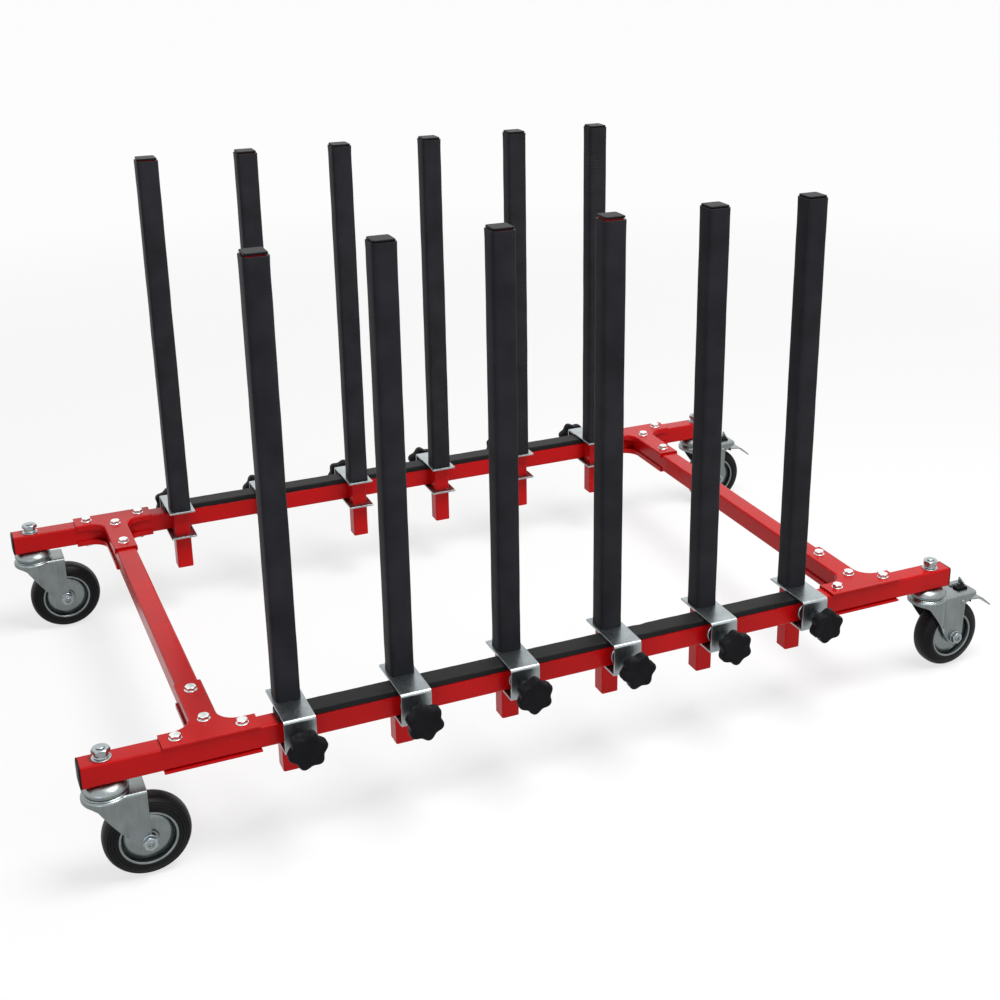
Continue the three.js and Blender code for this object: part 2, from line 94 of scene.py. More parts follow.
def linear(code):
    """Turns an sRGB hex colour into the linear colour that shaders take."""
    parts = [int(code[i:i + 2], 16) / 255 for i in (1, 3, 5)]
    return tuple(c / 12.92 if c <= 0.04045 else ((c + 0.055) / 1.055) ** 2.4 for c in parts)


def length(name, description, millimetres):
    """A length property whose default is given in millimetres."""
    return bpy.props.FloatProperty(
        name=name, description=description, default=millimetres * MM, min=0, unit="LENGTH", subtype="DISTANCE"
    )


def mm(value):
    """A length property in millimetres."""
    return value / MM


def colour(name, description, code):
    """A colour property whose default is an sRGB hex value."""
    return bpy.props.FloatVectorProperty(
        name=name, description=description, default=linear(code), size=3, min=0, max=1, subtype="COLOR"
    )


class CartSizes(bpy.types.PropertyGroup):
    """Sizes of the cart's pieces"""

    tube: length("Rail tube", "Width of the square tube of all rails", 30)
    tube_wall: length("Rail wall", "Wall of the rail tube", 2)
    tube_corner: length("Rail corner", "Outside radius of the rail tube's corners", 3)
    plug_flange: length("End plug", "Thickness of the plug at the end of a side rail", 3)
    plate_sheet: length("Corner plate", "Sheet thickness of the T-shaped plates", 2.6)
    plate_head: length("Plate head", "Length of a T-shaped plate along the side rail", 120)
    plate_stem: length("Plate stem", "Reach of a T-shaped plate over the cross rail", 130)
    plate_lip: length("Plate lip", "Height of a plate's turned edge", 9)
    plate_fillet: length("Plate fillet", "Radius of the inside corners of a plate", 25)
    bolt_across: length("Bolt head", "Across the flats of the plate bolts", 13)
    pad_height: length("Strip height", "Height of the rubber strip on a side rail", 8)
    post_tube: length("Post tube", "Width of the square tube of the uprights", 25)
    post_plug: length("Post plug", "Width of the plug in the top of an upright", 28.8)
    sleeve: length("Sleeve", "Width of an upright over its foam sleeve", 32.8)
    sleeve_wall: length("Sleeve wall", "Thickness of the foam round an upright", 3.8)
    sleeve_corner: length("Sleeve corner", "Outside radius of a sleeve's corners", 6.5)
    bracket_sheet: length("Bracket sheet", "Sheet thickness of the clamp brackets", 3)
    knob_radius: length("Knob radius", "Radius of a star knob over its lobes", 25.6)
    knob_scallop: length("Knob scallop", "Depth of the hollows between the lobes", 4.6)
    knob_lobes: bpy.props.IntProperty(name="Knob lobes", description="Lobes round a star knob", default=6, min=3)
    fork_sheet: length("Fork sheet", "Sheet thickness of the castor forks", 3)
    wheel_radius: length("Wheel radius", "Radius of a castor wheel over its tread", 54)
    rim_radius: length("Rim radius", "Radius of the wheel's steel rim", 36)
    tyre_width: length("Tyre width", "Width of a castor wheel's tyre", 34)


class CartColours(bpy.types.PropertyGroup):
    """Colours of the cart's finishes"""

    paint: colour("Paint", "Red powder coat of the frame", "#b40d0f")
    fastener_zinc: colour("Fastener zinc", "Zinc plate of bolts, nuts and washers", "#c9cfcd")
    sheet_zinc: colour("Sheet zinc", "Zinc plate of the clamp brackets", "#8f9698")
    # The castors' zinc is a darker copy of the zinc, with painted shade for their front faces
    shaded_pressing_zinc: colour("Shaded pressing zinc", "Zinc plate of the castors", "#747a7a")
    foam: colour("Foam", "Foam sleeves of the uprights", "#29292c")
    rubber: colour("Rubber strip", "Rubber strips on the side rails", "#141415")
    plastic: colour("Plastic", "Star knobs, end plugs and brake blocks", "#18181a")
    tyre: colour("Tyre", "Castor tyres", "#0a0a0b")
    floor: colour("Floor", "Pale studio floor", "#f4f4f3")


# Mesh work. Lengths given to these functions are in millimetres.


def begin():
    """Leaves edit mode and clears the selection."""
    if bpy.context.mode != "OBJECT":
        bpy.ops.object.mode_set(mode="OBJECT")
    bpy.ops.object.select_all(action="DESELECT")


def take(piece):
    """Makes a piece the only selected and the active one."""
    begin()
    piece.select_set(True)
    bpy.context.view_layer.objects.active = piece
    return piece


def added(primitive, **settings):
    """A new object from one of the operators that add them, with nothing else selected."""
    begin()
    primitive(**settings)
    return bpy.context.object


def edit(piece):
    take(piece)
    bpy.ops.object.mode_set(mode="EDIT")


def pick(kind, test):
    """Selects only the vertices, edges or faces of the edited mesh that pass a test."""
    bpy.ops.mesh.select_mode(type=kind)
    bpy.ops.mesh.select_all(action="DESELECT")
    data = bpy.context.edit_object.data
    shape = bmesh.from_edit_mesh(data)
    parts = {"VERT": shape.verts, "EDGE": shape.edges, "FACE": shape.faces}[kind]
    chosen = [part for part in parts if test(part)]
    if not chosen:
        raise RuntimeError("nothing to select on " + bpy.context.edit_object.name)
    for part in chosen:
        part.select_set(True)
    bmesh.update_edit_mesh(data)


def select_all():
    bpy.ops.mesh.select_all(action="SELECT")


def along(axis):
    """Test for edges that run along an axis."""
    return lambda edge: abs((edge.verts[1].co - edge.verts[0].co).normalized()[axis]) > 0.99


def facing(axis, sign=0):
    """Test for faces that look along an axis, either way or one way."""
    return lambda face: face.normal[axis] * sign > 0.9 if sign else abs(face.normal[axis]) > 0.9


def at_height(value, axis=Z):
    """Test for edges that lie at one place along an axis."""
    return lambda edge: all(abs(v.co[axis] - value * MM) < 0.01 * MM for v in edge.verts)


def extrude(x=0, y=0, z=0):
    bpy.ops.mesh.extrude_region_move(TRANSFORM_OT_translate={"value": (x * MM, y * MM, z * MM)})


def extrude_edges(x=0, y=0, z=0):
    bpy.ops.mesh.extrude_edges_move(TRANSFORM_OT_translate={"value": (x * MM, y * MM, z * MM)})


def shrink(factor, axis):
    """Scales the selection about the origin, across an axis."""
    factors = [factor] * 3
    factors[axis] = 1
    bpy.ops.transform.resize(value=factors, center_override=(0, 0, 0))


def bevel(width, segments):
    bpy.ops.mesh.bevel(offset=width * MM, segments=segments, affect="EDGES")


def close_up():
    """Merges what spinning or joining left double and turns all faces outwards."""
    select_all()
    bpy.ops.mesh.remove_doubles(threshold=0.001 * MM)
    bpy.ops.mesh.normals_make_consistent(inside=False)


def block(low, high):
    """A box between two corners, in edit mode."""
    centre = [(a + b) / 2 * MM for a, b in zip(low, high)]
    piece = added(bpy.ops.mesh.primitive_cube_add, size=MM, location=centre)
    piece.scale = [b - a for a, b in zip(low, high)]
    bpy.ops.object.transform_apply()
    bpy.ops.object.mode_set(mode="EDIT")
    return piece


def chain(points):
    """Edges from point to point, as one vertex extruded along them, in edit mode."""
    piece = added(bpy.ops.mesh.primitive_plane_add, size=MM, location=(0, 0, 0))
    bpy.ops.object.mode_set(mode="EDIT")
    bpy.ops.mesh.select_mode(type="VERT")
    select_all()
    bpy.ops.mesh.merge(type="CENTER")
    bpy.ops.transform.translate(value=Vector(points[0]) * MM)
    for start, end in zip(points, points[1:]):
        extrude(*(Vector(end) - Vector(start)))
    return piece


def outline(points):
    """A flat face inside a closed run of points, in edit mode."""
    piece = chain(points)
    ends = [Vector(points[0]) * MM, Vector(points[-1]) * MM]
    pick("VERT", lambda v: any((v.co - end).length < 0.001 * MM for end in ends))
    bpy.ops.mesh.edge_face_add()
    select_all()
    bpy.ops.mesh.edge_face_add()
    return piece


def prism(points, reach):
    """An outline drawn out along a direction, in edit mode."""
    piece = outline(points)
    bpy.ops.mesh.select_mode(type="FACE")
    select_all()
    extrude(*reach)
    close_up()
    return piece


def turned(profile, steps, angle=None):
    """A profile of (radius, height) spun about Z, in edit mode, or shaded smooth if an angle is given."""
    piece = chain([(radius, 0, height) for radius, height in profile])
    select_all()
    bpy.ops.mesh.spin(steps=steps, angle=2 * math.pi, center=(0, 0, 0), axis=(0, 0, 1))
    close_up()
    return smooth(piece, angle) if angle else piece


def modify(piece, kind, **settings):
    """Adds one modifier with its settings and applies it."""
    take(piece)
    modifier = piece.modifiers.new(kind.title(), kind)
    for key, value in settings.items():
        setattr(modifier, key, value)
    bpy.ops.object.modifier_apply(modifier=modifier.name)
    return piece


def carve(piece, tool, operation="DIFFERENCE"):
    """Cuts a piece by a tool, or keeps what is common to both, and throws the tool away."""
    modify(piece, "BOOLEAN", object=tool, operation=operation, solver="EXACT")
    bpy.data.objects.remove(tool, do_unlink=True)
    return piece


def round_edges(piece, width, segments, angle):
    """Rounds the edges that are sharper than an angle."""
    limit = math.radians(angle)
    return modify(piece, "BEVEL", width=width * MM, segments=segments, limit_method="ANGLE", angle_limit=limit)


def smooth(piece, angle):
    """Shades a piece smooth up to an angle, with flat faces left flat."""
    take(piece)
    bpy.ops.object.shade_smooth_by_angle(angle=math.radians(angle))
    return modify(piece, "WEIGHTED_NORMAL", keep_sharp=True)


def break_edges(piece, width, segments=2, angle=40):
    """Rounds the sharp edges of a piece and shades the rest smooth."""
    return smooth(round_edges(piece, width, segments, angle), angle)


def joined(pieces):
    begin()
    for piece in pieces:
        piece.select_set(True)
    bpy.context.view_layer.objects.active = pieces[0]
    bpy.ops.object.join()
    return bpy.context.object


def lay(piece, axis, turn, x=0, y=0, z=0):
    """Turns a modelled piece about an axis and moves it, with its place kept in the mesh."""
    take(piece)
    piece.matrix_world = Matrix.Translation(Vector((x, y, z)) * MM) @ Matrix.Rotation(math.radians(turn), 4, axis)
    bpy.ops.object.transform_apply()
    return piece


def copy(pattern, name, place):
    """A copy of a modelled piece with a mesh of its own, put in its place."""
    take(pattern)
    bpy.ops.object.duplicate(linked=False)
    piece = bpy.context.object
    piece.matrix_world = place
    bpy.ops.object.transform_apply()
    piece.name = name
    piece.data.name = name
    return piece


def throw_away(*patterns):
    begin()
    for pattern in patterns:
        bpy.data.objects.remove(pattern, do_unlink=True)


def give(piece, body, slot, material, *nodes):
    """Gives a finished piece its finish and its body, and hides the solids that it stands for."""
    begin()
    piece.data.materials.clear()
    piece.data.materials.append(material)
    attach(piece, body)
    if nodes:
        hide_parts(*nodes)


def put(pattern, name, place, body, slot, material, *nodes):
    """A copy of a modelled piece in its place, given its body and finish, with the solids that it stands for hidden.
    """
    give(copy(pattern, name, place), body, slot, material, *nodes)


def choices(context):
    """Sizes and colours as the panel has them."""
    return context.scene.cart_sizes, context.scene.cart_colours


# Places, read from the frame


def middle(node):
    low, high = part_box(node)
    return (low + high) / 2


def rail_foot(side):
    """Height of the underside of the side rails and the line across the cart of one of them."""
    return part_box(side + "_side_rail")[0].z, middle(side + "_side_rail").y


def on_rail(side, x):
    """Frame of what is fixed to a side rail: the origin under its centre line, -Y outwards."""
    height, across = rail_foot(side)
    return Matrix.Translation((x, across, height)) @ Matrix.Rotation(SIDES[side], 4, "Z")


def upright_place(side, number):
    return on_rail(side, middle(f"{side}_post_{number}").x)


def corner_place(side, end):
    half = Matrix.Translation((0, 0, (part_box("front_side_rail")[1].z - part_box("front_side_rail")[0].z) / 2))
    return on_rail(side, middle(f"{end}_cross_rail").x) @ half


def castor_place(side, end):
    """Frame of a castor as it stands: the origin on its stem under the rail, the wheel trailing to +X."""
    joints = {joint["name"]: joint for joint in frame["joints"]}
    stem = joints[f"{side}_{end}_castor_swivel"]["pos_m"]
    axle = joints[f"{side}_{end}_wheel_spin"]["axis"]
    turn = math.atan2(-axle[0], axle[1])
    return Matrix.Translation((stem[0], stem[1], rail_foot(side)[0])) @ Matrix.Rotation(turn, 4, "Z")


# Finishes


def add(tree, kind, inputs=None, **settings):
    """Adds one shader node with its settings; an input is linked from a socket or a node's first one, or set."""
    node = tree.nodes.new("ShaderNode" + kind)
    for key, value in settings.items():
        setattr(node, key, value)
    for socket, value in (inputs or {}).items():
        if isinstance(value, bpy.types.Node):
            value = value.outputs[0]
        if isinstance(value, bpy.types.NodeSocket):
            tree.links.new(value, node.inputs[socket])
        else:
            node.inputs[socket].default_value = value
    return node


def surface(name):
    """A material, its emptied node tree and the socket of the object's own coordinates."""
    material = bpy.data.materials.get(name) or bpy.data.materials.new(name)
    material.use_nodes = True
    tree = material.node_tree
    tree.nodes.clear()
    return material, tree, add(tree, "TexCoord").outputs["Object"]


def shade_of(base, factor):
    """A colour made lighter or darker."""
    return tuple(min(1, c * factor) for c in base) + (1,)


def coat(tree, base, level, shades, inputs):
    """Shader whose colour a level takes from one shade of the base to another, with the other inputs given."""
    darker, lighter = (shade_of(base, factor) for factor in shades)
    tone = add(tree, "Mix", {0: level, 6: darker, 7: lighter}, data_type="RGBA").outputs[2]
    return add(tree, "BsdfPrincipled", {"Base Color": tone, **inputs})


def mottled(name, base, shades, patch, grain, relief, gloss, specular, detail=3.0, spread=(0.3, 0.7), even=False):
    """A finish with soft patches and a fine grain, sized in millimetres.

    The patches vary the colour and the gloss; on an even finish the grain varies the gloss. Relief is the strength
    and the depth of the grain.
    """
    material, tree, place = surface(name)
    patches = add(tree, "TexNoise", {"Vector": place, "Scale": 1 / (patch * MM), "Detail": detail})
    fine = add(tree, "TexNoise", {"Vector": place, "Scale": 1 / (grain * MM), "Detail": 2.0})
    level = add(tree, "MapRange", {"Value": patches, "From Min": spread[0], "From Max": spread[1]})
    polish = add(tree, "MapRange", {"Value": fine, "From Min": 0.3, "From Max": 0.7}) if even else level
    rough = add(tree, "MapRange", {"Value": polish, "To Min": gloss[0], "To Max": gloss[1]})
    bump = add(tree, "Bump", {"Height": fine, "Strength": relief[0], "Distance": relief[1] * MM})
    shader = coat(tree, base, level, shades, {"Roughness": rough, "Normal": bump, "Specular IOR Level": specular})
    add(tree, "OutputMaterial", {"Surface": shader})
    return material, tree, place, shader, bump


def red_powder_coat(colours):
    # Polyester powder, sprayed dry on bare steel and baked: an even glossy red whose reflections are softened by
    # orange peel. The real peel is about 2 mm across, drawn here at 5 mm so that it shows at all.
    return mottled(
        "red_polyester_powder_coat", colours.paint, (0.92, 1.06), patch=70, grain=5, relief=(0.02, 0.3),
        gloss=(0.2, 0.28), specular=0.1,
    )[0]


def zinc_plate(name, base, streak, roughness):
    """Zinc plate of one base colour; streak is the spacing of its marks in millimetres."""
    material, tree, place = surface(name)
    stretched = add(tree, "Mapping", {"Vector": place, "Scale": (1.0, 1.0, 0.12)})
    streaks = add(tree, "TexNoise", {
        "Vector": stretched, "Scale": 1 / (streak * MM), "Detail": 4.0, "Roughness": 0.6,
    })
    patches = add(tree, "TexNoise", {"Vector": place, "Scale": 1 / (22 * MM), "Detail": 3.0})
    blend = add(tree, "Mix", {0: 0.4, 2: patches, 3: streaks})
    level = add(tree, "MapRange", {"Value": blend, "From Min": 0.3, "From Max": 0.64})
    gloss = add(tree, "MapRange", {
        "Value": streaks, "From Min": 0.3, "From Max": 0.7, "To Min": roughness - 0.04, "To Max": roughness + 0.06,
    })
    bump = add(tree, "Bump", {"Height": streaks, "Strength": 0.05, "Distance": 0.1 * MM})
    shader = coat(tree, base, level, (0.82, 1.12), {"Roughness": gloss, "Normal": bump, "Metallic": 1.0})
    add(tree, "OutputMaterial", {"Surface": shader})
    return material


def fastener_zinc(colours):
    # Barrel-plated zinc, clear passivated, on cold-headed steel: the brightest metal of the cart, almost white, with
    # small dents from tumbling about 2 mm across.
    return zinc_plate("barrel_plated_zinc_fasteners", colours.fastener_zinc, 2, 0.24)


def sheet_zinc(colours):
    # Zinc electroplated on cold-rolled sheet: bright grey, a little blue, and satin, so that the dark sleeve and knob
    # beside it show as soft dark patches. The rolling streaks are about 3 mm apart.
    return zinc_plate("zinc_plated_rolled_sheet", colours.sheet_zinc, 3, 0.3)


def shaded_pressing_zinc(colours):
    # Zinc plate on deep-drawn pressings with painted shade: an even mid grey, set darker than the other zinc to stand
    # for the shade on the castors' front faces, which makes their tops too dark; broad soft reflections and draw
    # marks about 4 mm apart.
    return zinc_plate("zinc_plated_pressings_painted_shade", colours.shaded_pressing_zinc, 4, 0.3)


def sleeve_foam(colours, wrinkled=False):
    # Closed-cell nitrile foam tube with a smooth extruded skin: soft black with a broad dull sheen, and pores under
    # the skin about 0.5 mm across, drawn at 2 mm. One sleeve was pushed on crumpled, with fine rings near its top.
    material, tree, place, shader, bump = mottled(
        "nitrile_foam_crumpled" if wrinkled else "nitrile_foam_skin", colours.foam, (0.8, 1.2), patch=45, grain=2,
        relief=(0.12, 0.2), gloss=(0.42, 0.42), specular=0.02,
    )
    if wrinkled:
        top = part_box("rear_post_6")[1].z
        height = add(tree, "SeparateXYZ", {"Vector": place}).outputs["Z"]
        rise, fall = (
            add(tree, "MapRange", {"Value": height, "From Min": top - start * MM, "From Max": top - end * MM})
            for start, end in ((105, 75), (30, 50))
        )
        band = add(tree, "Math", {0: rise, 1: fall}, operation="MULTIPLY")
        rings = add(tree, "TexWave", {
            "Vector": place, "Scale": 0.314 / (3.2 * MM), "Distortion": 3.0, "Detail": 1.5,
        }, bands_direction="Z").outputs["Fac"]
        folds = add(tree, "Math", {0: rings, 1: band}, operation="MULTIPLY")
        crumple = add(tree, "Bump", {"Height": folds, "Strength": 0.8, "Distance": 0.5 * MM, "Normal": bump})
        tree.links.new(crumple.outputs[0], shader.inputs["Normal"])
    return material


def strip_rubber(colours):
    # Extruded sponge rubber strip: dull black with a slight skin, faint drag marks along the strip about 1 mm apart,
    # drawn at 1.6 mm.
    material, tree, place = surface("extruded_sponge_rubber")
    drawn = add(tree, "Mapping", {"Vector": place, "Scale": (0.05, 1.0, 1.0)})
    drag = add(tree, "TexNoise", {"Vector": drawn, "Scale": 1 / (1.6 * MM), "Detail": 3.0})
    level = add(tree, "MapRange", {"Value": drag, "From Min": 0.3, "From Max": 0.7})
    bump = add(tree, "Bump", {"Height": drag, "Strength": 0.15, "Distance": 0.2 * MM})
    dull = {"Roughness": 0.55, "Normal": bump, "Specular IOR Level": 0.12}
    add(tree, "OutputMaterial", {"Surface": coat(tree, colours.rubber, level, (0.75, 1.3), dull)})
    return material


def moulded_nylon(colours):
    # Glass-filled nylon from a spark-eroded mould: satin black with a fine even grain of about 0.3 mm, drawn at 1 mm.
    return mottled(
        "moulded_black_nylon", colours.plastic, (0.85, 1.25), patch=18, grain=1, relief=(0.1, 0.1),
        gloss=(0.36, 0.48), specular=0.03, detail=2.0, even=True,
    )[0]


def tyre_rubber(colours):
    # Moulded solid rubber: a dull black with a greyish bloom in patches, as old stock has, and a skin of fine grain.
    return mottled(
        "moulded_tyre_rubber", colours.tyre, (0.75, 1.5), patch=25, grain=1.2, relief=(0.12, 0.15),
        gloss=(0.4, 0.55), specular=0.12, detail=4.0, spread=(0.35, 0.75),
    )[0]


# Shapes


PLUG_RIM = 0.55  # share of an end plug's flange that is straight
PLATE_SIDE, PLATE_RISE = 2.8, 3.2  # outer faces of a corner plate beside and over the tubes
PLATE_BOLTS = ((-41, 0), (41, 0), (0, 30), (0, 108))
CAP_DEPTH = 3.2
SLEEVE_LAP = 0.1  # how far a sleeve reaches over the rim of its post tube
BRACKET_HALF = 20.5
STUD_HOLE = 4.3
KNOB_NECK, KNOB_HEAD = 12, 18

# Castors, about the stem under the rail: X is the way the wheel trails
CROWN_TOP = -16
CROWN_RADIUS = 30
CROWN_REAR = {False: 45, True: 78}  # without a brake and with one
FORK_HALF = 23
LEG_EYE = 13.5  # radius of a leg's round end
AXLE = (42, -87)
PEDAL_PIN, PEDAL_HALF = (56, -24.5), 16.4


def arc(centre, radius, start, end, steps):
    """Points round part of a circle, angles in degrees."""
    angles = [math.radians(start + (end - start) * i / steps) for i in range(steps + 1)]
    return [(centre[0] + radius * math.cos(a), centre[1] + radius * math.sin(a)) for a in angles]


def square_tube(reach, size, corner, wall, axis):
    """Square tube about the origin with rounded corners and open ends."""
    half = [size / 2] * 3
    half[axis] = reach / 2
    tube = block([-h for h in half], half)
    pick("EDGE", along(axis))
    bevel(corner, 4)
    pick("FACE", facing(axis))
    bpy.ops.mesh.delete(type="ONLY_FACE")
    modify(tube, "SOLIDIFY", thickness=wall * MM, offset=-1)
    return break_edges(tube, 0.3, 1, 60)


def end_plug(size, corner, flange, wall):
    """Plastic plug of a tube end: a flange with a low dome, and a hollow shank inside the tube. It looks to -X."""
    half = size / 2
    rim = PLUG_RIM * flange
    plug = block((-rim, -half, -half), (0, half, half))
    pick("EDGE", along(X))
    bevel(corner, 4)
    pick("FACE", facing(X, -1))
    for share, factor in ((0.35, 0.95), (0.4, 0.8), (0.25, 0.5)):
        extrude(x=-share * (flange - rim))
        shrink(factor, X)
    pick("FACE", facing(X, 1))
    for reach, factor in ((0, 1 - (wall + 0.3) / half), (12, 1), (0, 0.85), (-11, 1)):
        extrude(x=reach)
        shrink(factor, X)
    return break_edges(plug, 0.35, 2, 50)


def tee_plate(sizes):
    """Pressed T-shaped plate over the rails' centre plane, with its edges turned down beside the tubes."""
    half = mm(sizes.tube) / 2 + PLATE_SIDE
    head = mm(sizes.plate_head) / 2
    stem = mm(sizes.plate_stem)
    fillet = mm(sizes.plate_fillet)
    top = mm(sizes.tube) / 2 + PLATE_RISE
    bend = half + fillet
    flat = [(-head, -half), (head, -half), (head, half)]
    flat += arc((bend, bend), fillet, 270, 180, 10)
    flat += [(half, stem), (-half, stem)]
    flat += arc((-bend, bend), fillet, 0, -90, 10)
    flat += [(-head, half)]
    plate = outline([(x, y, top) for x, y in flat])
    shape = bmesh.from_edit_mesh(plate.data)
    shape.faces.ensure_lookup_table()
    if shape.faces[0].normal.z < 0:
        bpy.ops.mesh.flip_normals()

    def turned_edge(edge):
        ends = [v.co / MM for v in edge.verts]
        at_head = all(abs(abs(p.x) - head) < 0.01 for p in ends)
        at_stem = all(abs(p.y - stem) < 0.01 for p in ends)
        return not at_head and not at_stem

    pick("EDGE", turned_edge)
    extrude_edges(z=-mm(sizes.plate_lip))
    pick("EDGE", lambda edge: len(edge.link_faces) == 2 and at_height(top)(edge))
    bevel(2.6, 4)
    modify(plate, "SOLIDIFY", thickness=sizes.plate_sheet, offset=-1, use_even_offset=True)
    return break_edges(plate, 0.5, 2, 50)


def hexagon(across, height, chamfer=1.0):
    """Hexagon nut or head standing on z = 0, with its upper corners turned off."""
    radius = across / 2 / math.cos(math.pi / 6)
    piece = added(bpy.ops.mesh.primitive_cylinder_add, vertices=6, radius=radius * MM, depth=height * MM)
    lay(piece, "Z", 0, z=height / 2)
    crown = turned([
        (0, -1), (radius + 1, -1), (radius + 1, height - chamfer - 0.6), (radius + 0.1, height - chamfer),
        (across / 2 - 0.4, height), (0, height),
    ], 36)
    carve(piece, crown, "INTERSECT")
    return break_edges(piece, 0.25, 1, 25)


def washer(diameter, thickness, dome=0.0):
    """Round washer on z = 0 with rounded edges, flat or a little domed."""
    radius = diameter / 2
    inner = radius * 0.45
    return turned([
        (inner, 0), (radius - 0.3, 0), (radius, 0.3), (radius, thickness - 0.4 - dome),
        (radius - 0.4, thickness - dome), ((radius + inner) / 2, thickness - 0.35 * dome),
        (inner, thickness), (inner, 0),
    ], 32, 40)


def threaded_end(diameter, low, high, pitch=1.25):
    """Piece of thread between two heights, as rings of the thread's pitch."""
    radius = diameter / 2
    root = radius - 0.6 * pitch
    profile = [(0, low), (root, low)]
    turns = int((high - low - 1) / pitch)
    for i in range(turns):
        profile += [(radius, low + (i + 0.5) * pitch), (root, low + (i + 1) * pitch)]
    profile += [(radius - 0.3, high - 0.6), (root - 0.3, high), (0, high)]
    return turned(profile, 20, 30)


def plate_bolt(sizes):
    """Bolt, nut and washers that clamp both corner plates, about the rails' centre plane."""
    face = mm(sizes.tube) / 2 + PLATE_RISE
    across = mm(sizes.bolt_across)
    return joined([
        lay(hexagon(across, 4.7), "Z", 17, z=face + 1.25),
        lay(washer(16.5, 1.3), "Z", 0, z=face - 0.05),
        lay(washer(16.5, 1.5), "X", 180, z=0.05 - face),
        lay(hexagon(across, 4.8), "X", 180, z=-face - 1.45),
        lay(threaded_end(8, 0, 4.8), "X", 180, z=-face - 2),
    ])


def rubber_strip(sizes, reach):
    """Rubber strip along X on z = 0, soft at its upper edges and divided along its length, in edit mode."""
    half = mm(sizes.tube) / 2
    strip = block((-reach / 2, -half, 0), (reach / 2, half, mm(sizes.pad_height)))
    pick("EDGE", lambda e: along(X)(e) and all(v.co.z > 1 * MM for v in e.verts))
    bevel(2.2, 4)
    pick("EDGE", along(X))
    bpy.ops.mesh.subdivide(number_cuts=79)
    return strip


def foam_sleeve(sizes, low, high):
    """Foam tube round a post, soft at its corners and cut square at both ends."""
    half = mm(sizes.sleeve) / 2
    sleeve = block((-half, -half, low), (half, half, high))
    pick("EDGE", along(Z))
    bevel(mm(sizes.sleeve_corner), 5)
    pick("FACE", facing(Z))
    bpy.ops.mesh.delete(type="ONLY_FACE")
    pick("EDGE", along(Z))
    bpy.ops.mesh.subdivide(number_cuts=47)
    modify(sleeve, "SOLIDIFY", thickness=sizes.sleeve_wall, offset=-1)
    return round_edges(sleeve, 0.35, 2, 60)


def post_cap(size, low, high, inside):
    """Plug in the top of a post: a flat flange with rounded edges over the tube, and a shank inside it."""
    half = size / 2
    cap = block((-half, -half, low), (half, half, high))
    pick("EDGE", along(Z))
    bevel(3.4, 4)
    pick("FACE", facing(Z, -1))
    for reach, factor in ((0, inside / size), (-9, 0.97)):
        extrude(z=reach)
        shrink(factor, Z)
    return break_edges(cap, 1.2, 3, 40)


def clamp_bracket(sizes, top, bottom, outside, reach, post_line):
    """C-shaped bracket bent from one strip: a flange above and one below the rail, joined by the web outside it."""
    sheet = mm(sizes.bracket_sheet)
    centre = (0, (outside + reach) / 2 * MM, top * MM)
    bracket = added(bpy.ops.mesh.primitive_plane_add, size=MM, location=centre)
    bracket.scale = (2 * BRACKET_HALF, reach - outside, 1)
    bpy.ops.object.transform_apply()
    bpy.ops.object.mode_set(mode="EDIT")
    pick("EDGE", at_height(outside, Y))
    extrude_edges(z=bottom - top)
    extrude_edges(y=reach - outside)
    pick("EDGE", lambda edge: len(edge.link_faces) == 2)
    bevel(1.5 * sheet, 6)
    select_all()
    bpy.ops.mesh.normals_make_consistent(inside=False)
    shape = bmesh.from_edit_mesh(bracket.data)
    upper = max(shape.faces, key=lambda face: face.calc_center_median().z)
    if upper.normal.z < 0:
        bpy.ops.mesh.flip_normals()
    modify(bracket, "SOLIDIFY", thickness=sizes.bracket_sheet, offset=-1)
    hole = mm(sizes.post_tube) / 2 + 0.3
    window = block((-hole, post_line - hole, bottom - 5), (hole, post_line + hole, top + 5))
    pick("EDGE", along(Z))
    bevel(2.6, 4)
    carve(bracket, window)
    near, far = -outside - sheet - 2, -outside + 2
    drill = turned([(0, near), (STUD_HOLE, near), (STUD_HOLE, far), (0, far)], 24)
    carve(bracket, lay(drill, "X", 90, z=mm(sizes.tube) / 2))
    return break_edges(bracket, 0.45, 2, 50)


def star_knob(sizes, start):
    """Star knob whose axis is Z: a scalloped head with rounded edges on a flared neck. It starts nearest the rail."""
    lobes = sizes.knob_lobes
    radius = mm(sizes.knob_radius)
    per_lobe = 12
    base = start + KNOB_NECK
    head = added(bpy.ops.mesh.primitive_circle_add, vertices=lobes * per_lobe, radius=radius * MM, fill_type="NGON")
    lay(head, "Z", 0, z=base)
    edit(head)
    for step in range(per_lobe // 2 + 1):
        def in_step(vertex):
            turn = math.atan2(vertex.co.y, vertex.co.x) / (2 * math.pi) * lobes * per_lobe
            place = round(turn) % per_lobe
            return min(place, per_lobe - place) == step
        pick("VERT", in_step)
        hollow = mm(sizes.knob_scallop) * (1 - math.cos(2 * math.pi * step / per_lobe)) / 2
        shrink((radius - hollow) / radius, Z)
    pick("FACE", lambda face: True)
    profile = [
        (0, 0.80), (1.0, 0.90), (2.6, 0.965), (5.0, 1.0), (14.0, 1.0), (16.2, 0.965), (17.5, 0.90),
        (KNOB_HEAD, 0.82), (17.8, 0.72), (17.4, 0.5), (17.3, 0.2),
    ]
    rise, spread = profile[0]
    shrink(spread, Z)
    for next_rise, next_spread in profile[1:]:
        extrude(z=next_rise - rise)
        shrink(next_spread / spread, Z)
        rise, spread = next_rise, next_spread
    close_up()
    collar = turned([
        (4.2, start), (10.2, start), (11, start + 0.8), (11.2, start + 3), (12.2, start + 6), (14.5, start + 9.5),
        (17, base + 1.5), (4.2, base + 1.5), (4.2, start),
    ], 40)
    return smooth(joined([head, collar]), 42)


